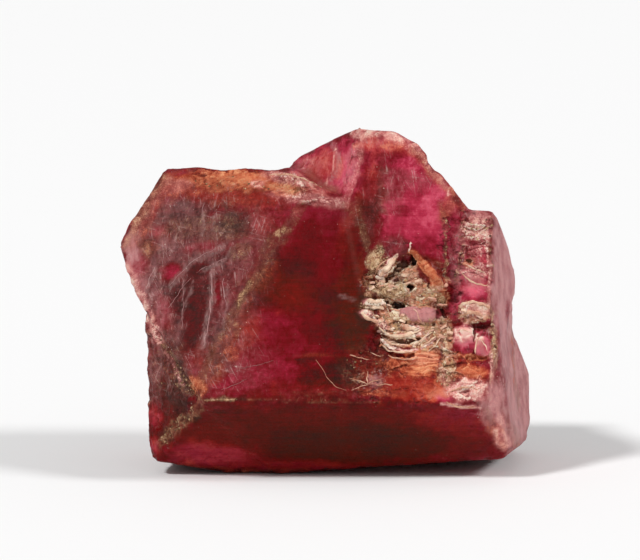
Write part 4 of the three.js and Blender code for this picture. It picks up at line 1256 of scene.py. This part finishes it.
# %% Their material
def grit_material(name, stops, roughness, lift):
    """Rough grains, each with a tone of its own, and paler in the break by the lift."""
    g = Graph(name)
    mm = g.millimetres()
    dirt = g.cloud(mm, 5.0, 3.0, 0.6).spread(1.8)
    patch = g.cloud(mm, 0.7, 2.0, 0.5).spread(2.0)
    tone = 0.35 * g.layer("tone") + lift * g.layer("mosaic") + 0.4 * (patch - 0.3) + 0.3 * (dirt - 0.5)
    rough = roughness + 0.3 * (dirt - 0.5)
    dents = g.bump(dirt, 0.5, 0.03 * MM)
    return g.finish(Base_Color=g.ramp(stops, tone), Roughness=rough, Normal=dents, Specular_IOR_Level=0.25)


CRUMB_STOPS = [
    (0.0, (0.06, 0.022, 0.014)), (0.25, (0.2, 0.11, 0.05)),
    (0.5, (0.52, 0.33, 0.18)), (0.9, (0.86, 0.7, 0.5)),
]
SPLINTER_STOPS = [
    (0.0, (0.3, 0.05, 0.04)), (0.25, (0.58, 0.18, 0.09)), (0.5, (0.66, 0.36, 0.26)),
    (0.75, (0.76, 0.54, 0.38)), (1.0, (0.88, 0.74, 0.58)),
]

# %% Crumbs of marble
CRUMB_SIZES = {"Density": 2.0e7, "Smallest": 0.045 * MM, "Largest": 0.14 * MM, "Lowest": 0.4 * MM}
CRUMB_SEEDS = {"places": 5, "size": 2, "shape": 3, "turn": 4}
FULL_TURN = 6.3


def crumbs():
    """Twenty-sided grains on the crusted and broken places."""
    s = Scatter("crumbs", CRUMB_SIZES)
    cover = s.layer("tan") * (0.2 + 0.8 * s.layer("broken")) * (1 - 0.6 * s.layer("mosaic"))
    density = s.given("Density") * cover.rising(0.12, 0.8) * s.above(s.given("Lowest"))
    points = s.scattered(density, CRUMB_SEEDS["places"])
    grain = s.node("GeometryNodeMeshIcoSphere", feeds={"Radius": 1.0, "Subdivisions": 1})
    size = s.chance(0.0, 1.0, CRUMB_SEEDS["size"])
    size = s.given("Smallest") + (s.given("Largest") - s.given("Smallest")) * size * size
    shape = s.chance((0.7, 0.7, 0.5), (1.3, 1.2, 1.0), CRUMB_SEEDS["shape"])
    shape = s.scaled(shape, s.together(size, size, size))
    turn = s.chance((0.0,) * 3, (FULL_TURN,) * 3, CRUMB_SEEDS["turn"])
    material = grit_material("marble_crumbs", CRUMB_STOPS, 0.7, 0.5)
    s.made_real(s.placed(points, grain, turn, shape), material)
    return s


grown("marble_crumbs", crumbs())

# %% Splinters of spinel
SPLINTER_SIZES = {
    "Density": 1.2e6, "Length": 0.3 * MM, "Depth": 0.26 * MM, "Thickness": 0.08 * MM, "Lowest": 0.8 * MM,
}
SPLINTER_SEEDS = {"places": 11, "size": 12, "turn": 13}
SPLINTER_TURNS = ((-0.8, -0.6, -0.8), (0.3, 0.6, 0.8))  # from and to, in radians


def splinters():
    """Thin six-sided plates, mostly level, that stand half out of the break."""
    s = Scatter("splinters", SPLINTER_SIZES)
    cover = s.layer("mosaic") * s.layer("broken")
    density = s.given("Density") * cover.rising(0.25, 0.8) * s.above(s.given("Lowest"))
    points = s.scattered(density, SPLINTER_SEEDS["places"])
    sides = {"Vertices": 6, "Radius": 1.0, "Depth": 2.0}
    plate = s.node("GeometryNodeMeshCylinder", feeds=sides, output="Mesh")
    size = s.together(s.given("Length"), s.given("Depth"), s.given("Thickness"))
    size = s.scaled(size, s.chance((0.4, 0.5, 0.6), (1.5, 1.2, 1.6), SPLINTER_SEEDS["size"]))
    turn = s.chance(*SPLINTER_TURNS, SPLINTER_SEEDS["turn"])
    material = grit_material("spinel_splinters", SPLINTER_STOPS, 0.35, 0.5)
    s.made_real(s.placed(points, plate, turn, size), material)
    return s


grown("spinel_splinters", splinters())

# %% [markdown]
# ## Blades and leaves in the break
# A few pale plates in the break are large enough to know one from another: the long blade, the
# leaves that curve under the lump, and a fan of three. A few cracks in the front face are as
# distinct. Each stands on edge along a path that is found by looking from the front view's eye
# onto the skin, and its foot is sunk in the stone.

# %% Paths of the blades, in the front view
BLADES = {  # path, thickness, height and tone
    "long blade": ([(7.75, 2.45), (6.8, 1.35), (5.9, 0.25)], 0.34, 0.42, 0.95),
    "blade beside it": ([(6.6, 1.9), (5.8, 1.2), (5.5, 0.4)], 0.12, 0.2, 0.55),
    "lump's upper rib": ([(4.6, -2.0), (5.4, -2.15), (6.2, -2.1)], 0.34, 0.25, 0.95),
    "lump's lower rib": ([(4.5, -2.75), (5.4, -2.7), (6.5, -2.9)], 0.36, 0.3, 0.9),
    "lump's foot": ([(4.2, -3.2), (4.9, -3.9), (5.8, -4.2)], 0.28, 0.22, 0.75),
    "plate's crease": ([(9.4, -2.9), (9.9, -3.6), (10.2, -4.3)], 0.09, 0.12, 0.8),
    "fold": ([(8.2, -4.5), (8.9, -4.9), (9.6, -4.8)], 0.34, 0.25, 0.85),
    "upper leaf": ([(5.9, -4.6), (6.4, -5.3), (7.8, -5.6), (9.2, -5.4), (10.2, -4.9)], 0.24, 0.35, 1.0),
    "leaf between": ([(6.2, -5.6), (7.0, -6.3), (8.2, -6.6)], 0.16, 0.25, 0.6),
    "lower leaf": ([(6.0, -5.9), (6.6, -6.8), (7.8, -7.2), (9.6, -7.2)], 0.18, 0.3, 0.85),
    "lowest leaf": ([(6.8, -7.6), (8.2, -7.9), (9.8, -7.8)], 0.12, 0.2, 0.45),
    "fan's first": ([(9.2, -6.6), (10.1, -6.0), (11.2, -5.2)], 0.13, 0.3, 0.9),
    "fan's second": ([(10.0, -6.8), (10.8, -6.2), (11.6, -5.6)], 0.13, 0.3, 0.8),
    "fan's third": ([(10.9, -7.0), (11.6, -6.4), (12.0, -5.8)], 0.11, 0.26, 0.85),
    "plate's shell": ([(14.2, 0.7), (15.3, -0.2), (16.8, -0.5)], 0.16, 0.18, 0.7),
    "crust's rim": ([(13.8, -2.6), (14.8, -2.3), (16.2, -2.4), (17.0, -2.8)], 0.3, 0.2, 0.7),
    "crust's inner rib": ([(14.0, -3.6), (15.2, -3.2), (16.4, -3.7)], 0.3, 0.2, 0.65),
    # painted highlights: pale blades where the plate's window and the blocks catch the light
    "window's upper highlight": ([(14.5, 1.5), (15.5, 1.2), (16.7, 0.5)], 0.1, 0.1, 0.6),
    "block's shine": ([(13.7, -5.2), (14.4, -5.0), (15.1, -5.2)], 0.12, 0.1, 0.8),
    "second block's shine": ([(15.9, -5.9), (16.4, -6.3), (16.8, -7.1)], 0.12, 0.1, 0.9),
    "block's edge": ([(15.9, -5.7), (15.6, -6.4), (15.5, -7.4)], 0.14, 0.2, 0.75),
    "lower crust's edge": ([(12.6, -12.2), (13.8, -12.6), (15.6, -12.7)], 0.12, 0.14, 0.2),
    "lower crust's rib": ([(13.0, -11.2), (14.2, -10.8), (15.8, -11.0)], 0.14, 0.16, 0.45),
    "crest's pale edge": ([(-5.0, 10.5), (-3.2, 10.5), (-1.4, 10.0), (0.2, 9.2)], 0.2, 0.12, 0.6),
    "crack's hook": (
        [(-0.4, -8.0), (0.2, -8.6), (0.2, -9.3), (1.0, -9.8), (1.5, -10.6), (2.6, -11.0)], 0.06, 0.05, 0.0,
    ),
    "dash": ([(3.0, -7.5), (4.0, -7.8), (4.9, -8.0)], 0.1, 0.06, 0.5),
    "second dash": ([(5.0, -7.2), (6.0, -7.7)], 0.08, 0.06, 0.35),
}
STAR = {"middle": (4.8, -10.4), "tips": [(2.9, -9.8), (3.2, -11.0), (4.8, -9.1), (6.3, -9.8), (7.2, -10.5)]}
for number, tip in enumerate(STAR["tips"], 1):
    BLADES[f"star's ray {number}"] = ([STAR["middle"], tip], 0.08, 0.05, 0.32)
STEP = 0.12  # mm between the cuts of a blade
FEWEST_CUTS = 6
SHAKE = {"per mm": 1.6, "mm": 0.16}  # how often and how far a blade wanders off its path
SHAKE_SEED = 9
FOOT = 0.5 * MM  # how deep a blade's foot is sunk in the stone
BLADE_SIDES = [(-1.1, 0.4), (-0.6, 0.95), (0.5, 1.0), (1.1, 0.5)]  # half widths aside, share of the height
FOOT_SIDE = 1.3  # half widths
UNEVEN = {"per mm": 1.9, "share": 0.8}  # how often and how much a blade's height and width change
BLADE_MOSAIC = 0.5  # what the mosaic layer says on the blades

noise.seed_set(SHAKE_SEED)  # without it, noise_vector gives another shake in each run
skin_tree = BVHTree.FromPolygons([v.co for v in skin.vertices], [p.vertices for p in skin.polygons])


def eye_ray(across, up):
    """The camera's place and the way it looks towards a place of the front view."""
    tip = math.radians(VIEW["elevation"])
    ahead = Vector((0, math.cos(tip), -math.sin(tip)))
    above = Vector((0, math.sin(tip), math.cos(tip)))
    target = Vector(VIEW["target"])
    eye = target - ahead * VIEW["distance"]
    spot = target + Vector((across * MM, 0, 0)) + above * up * MM
    return eye, (spot - eye).normalized()


def on_skin(across, up):
    """The place of the skin that the front view shows there."""
    return skin_tree.ray_cast(*eye_ray(across, up))[0]


def curve_through(path):
    """Places along a smooth curve through the path, a step apart."""
    path = np.array(path)
    lengths = np.concatenate([[0], np.cumsum(np.linalg.norm(np.diff(path, axis=0), axis=1))])
    spots = np.linspace(0, lengths[-1], max(FEWEST_CUTS, round(lengths[-1] / STEP)))
    bend = np.polyfit(lengths, path, min(3, len(path) - 1))
    places = np.stack([np.polyval(bend[:, k], spots) for k in range(2)], 1)
    shake = [noise.noise_vector(Vector((*(place * SHAKE["per mm"]), 0)))[:2] for place in places]
    return spots / lengths[-1], places + SHAKE["mm"] * np.array(shake)


def add_blade(work, path, thickness, height, seed):
    """One plate on edge: rings of six points along its path, thin at both ends and closed there."""
    shares, spots = curve_through(path)
    rings = []
    for share, (across, up) in zip(shares, spots):
        place = on_skin(across, up)
        eye_way = -eye_ray(across, up)[1]
        along = Vector((*(spots[-1] - spots[0]), 0)).normalized()
        aside = Vector((-along.y, 0, along.x))
        spot = Vector((across * UNEVEN["per mm"], up * UNEVEN["per mm"], seed * 3.7))
        rough = 1 + UNEVEN["share"] * noise.noise(spot)
        taper = math.sin(math.pi * (0.06 + 0.88 * share)) ** 0.45
        half = 0.5 * thickness * MM * taper * rough
        top = height * MM * (taper * rough - 0.25)
        above = [(side, share_up * top) for side, share_up in BLADE_SIDES]
        outline = [(-FOOT_SIDE, -FOOT), *above, (FOOT_SIDE, -FOOT)]
        rings.append([work.verts.new(place + aside * half * side + eye_way * out) for side, out in outline])
    for ring, following in zip(rings[:-1], rings[1:]):
        for k, corner in enumerate(ring):
            beside = (k + 1) % len(ring)
            work.faces.new((corner, ring[beside], following[beside], following[k]))
    work.faces.new(rings[0][::-1])
    work.faces.new(rings[-1])


def blades(name, table, material):
    """All the plates of a table as one mesh, each with its tone."""
    work = bmesh.new()
    tones = []
    for seed, (path, thickness, height, tone) in enumerate(table.values()):
        add_blade(work, path, thickness, height, seed)
        tones += [tone] * (len(work.verts) - len(tones))
    bmesh.ops.recalc_face_normals(work, faces=work.faces)
    data = bpy.data.meshes.new(name)
    work.to_mesh(data)
    work.free()
    write_layer(data, "tone", np.array(tones))
    write_layer(data, "mosaic", np.full(len(tones), BLADE_MOSAIC))
    data.materials.append(material)
    piece = bpy.data.objects.new(name, data)
    bpy.context.scene.collection.objects.link(piece)
    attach(piece, "root")
    return piece


BLADE_STOPS = [
    (0.1, (0.3, 0.08, 0.05)), (0.3, (0.5, 0.22, 0.14)),
    (0.5, (0.68, 0.4, 0.27)), (0.68, (0.82, 0.62, 0.45)),
]
break_blades = blades("break_blades", BLADES, grit_material("blade", BLADE_STOPS, 0.4, 0.4))
print("blades:", len(BLADES), "of", len(break_blades.data.polygons), "faces")

# %% [markdown]
# ## Hairs on the front
# A few cracks catch the light as thin white hairs, one to eight millimetres long, most of them on
# the face at the upper left. They are finer than the points that carry the colours, so each is a
# blade of its own, about a tenth of a millimetre wide and hardly above the face.

# %% Paths of the hairs, in the front view
HAIRS = {  # path, thickness, height and tone
    "long upright": ([(-10.7, 0.9), (-10.9, -2.0), (-11.6, -6.6)], 0.09, 0.05, 0.75),
    "upright at its left": ([(-13.7, 0.2), (-13.7, -2.4), (-13.8, -4.8)], 0.05, 0.05, 0.5),
    "upright at its right": ([(-9.6, 0.2), (-9.6, -1.4), (-9.2, -2.8)], 0.06, 0.05, 0.5),
    "far left": ([(-16.5, 1.3), (-17.0, 0.2), (-17.4, -0.8)], 0.07, 0.05, 0.8),
    "long slanting": ([(-14.9, -0.6), (-12.8, 1.8), (-9.4, 3.5)], 0.06, 0.05, 0.5),
    "under the slanting": ([(-12.4, 0.8), (-10.8, 1.6), (-9.3, 2.2)], 0.05, 0.05, 0.4),
    "steep below": ([(-15.2, -2.8), (-14.2, -1.4), (-12.9, 0.2)], 0.05, 0.05, 0.4),
    "short at the top": ([(-11.8, 6.4), (-11.6, 7.8)], 0.05, 0.05, 0.4),
    "second at the top": ([(-10.2, 7.2), (-9.5, 8.6)], 0.05, 0.05, 0.35),
    "low on the front": ([(-9.8, -11.0), (-7.3, -9.9)], 0.04, 0.05, 0.05),
    "level on the front": ([(-8.4, -9.0), (-4.6, -8.1)], 0.04, 0.05, 0.0),
}
HAIR_STOPS = [(0.1, (0.24, 0.07, 0.07)), (0.5, (0.4, 0.22, 0.21)), (0.9, (0.62, 0.44, 0.42))]
hairs = blades("fracture_hairs", HAIRS, grit_material("hair", HAIR_STOPS, 0.4, 0.2))
print("hairs:", len(HAIRS), "of", len(hairs.data.polygons), "faces")


# %% [markdown]
# ## Floor and light
# The stone stands on a plain pale floor under soft light from the front left, with the white of the
# room all round it. One hard lamp would show the flakes better but would blacken the lower faces.

# %% Floor
FLOOR = {"half": 8.0, "colour": colour(0.9, 0.9, 0.9), "roughness": 0.8}


def make_floor():
    """A large pale floor, just under the stone."""
    half = FLOOR["half"]
    corners = [(-half, -half, 0), (half, -half, 0), (half, half, 0), (-half, half, 0)]
    data = bpy.data.meshes.new("floor")
    data.from_pydata(corners, [], [(0, 1, 2, 3)])
    finish = {"Base_Color": FLOOR["colour"], "Roughness": FLOOR["roughness"]}
    data.materials.append(Graph("pale_floor").finish(**finish))
    floor = bpy.data.objects.new("floor", data)
    bpy.context.scene.collection.objects.link(floor)
    return floor


print("floor:", make_floor().dimensions.x, "m wide")

# %% Light
LAMPS = {  # degrees, and softness as the lamp's width in degrees
    "key": {"heading": -48, "elevation": 48, "softness": 8, "strength": 2.0},
    "rim": {"heading": 75, "elevation": 34, "softness": 16, "strength": 1.6},
}
ROOM_LIGHT = 0.36


def make_lamp(name, heading, elevation, softness, strength):
    """A soft lamp far away: heading 0 shines from the front, 90 from the right."""
    data = bpy.data.lights.new(name, "SUN")
    data.angle = math.radians(softness)
    data.energy = strength
    lamp = bpy.data.objects.new(name, data)
    turn, rise = math.radians(heading), math.radians(elevation)
    ray = Vector((math.sin(turn) * math.cos(rise), -math.cos(turn) * math.cos(rise), math.sin(rise)))
    lamp.location = ray
    lamp.rotation_euler = ray.to_track_quat("Z", "Y").to_euler()
    bpy.context.scene.collection.objects.link(lamp)


def make_room(strength):
    """The even white of the room."""
    world = bpy.data.worlds.new("room")
    world.use_nodes = True
    background = world.node_tree.nodes["Background"]
    background.inputs["Color"].default_value = colour(1, 1, 1)
    background.inputs["Strength"].default_value = strength
    bpy.context.scene.world = world


for name, lamp in LAMPS.items():
    make_lamp(name, **lamp)
make_room(ROOM_LIGHT)
bpy.context.scene.view_settings.view_transform = "Standard"
print("lamps:", list(LAMPS))

# %% [markdown]
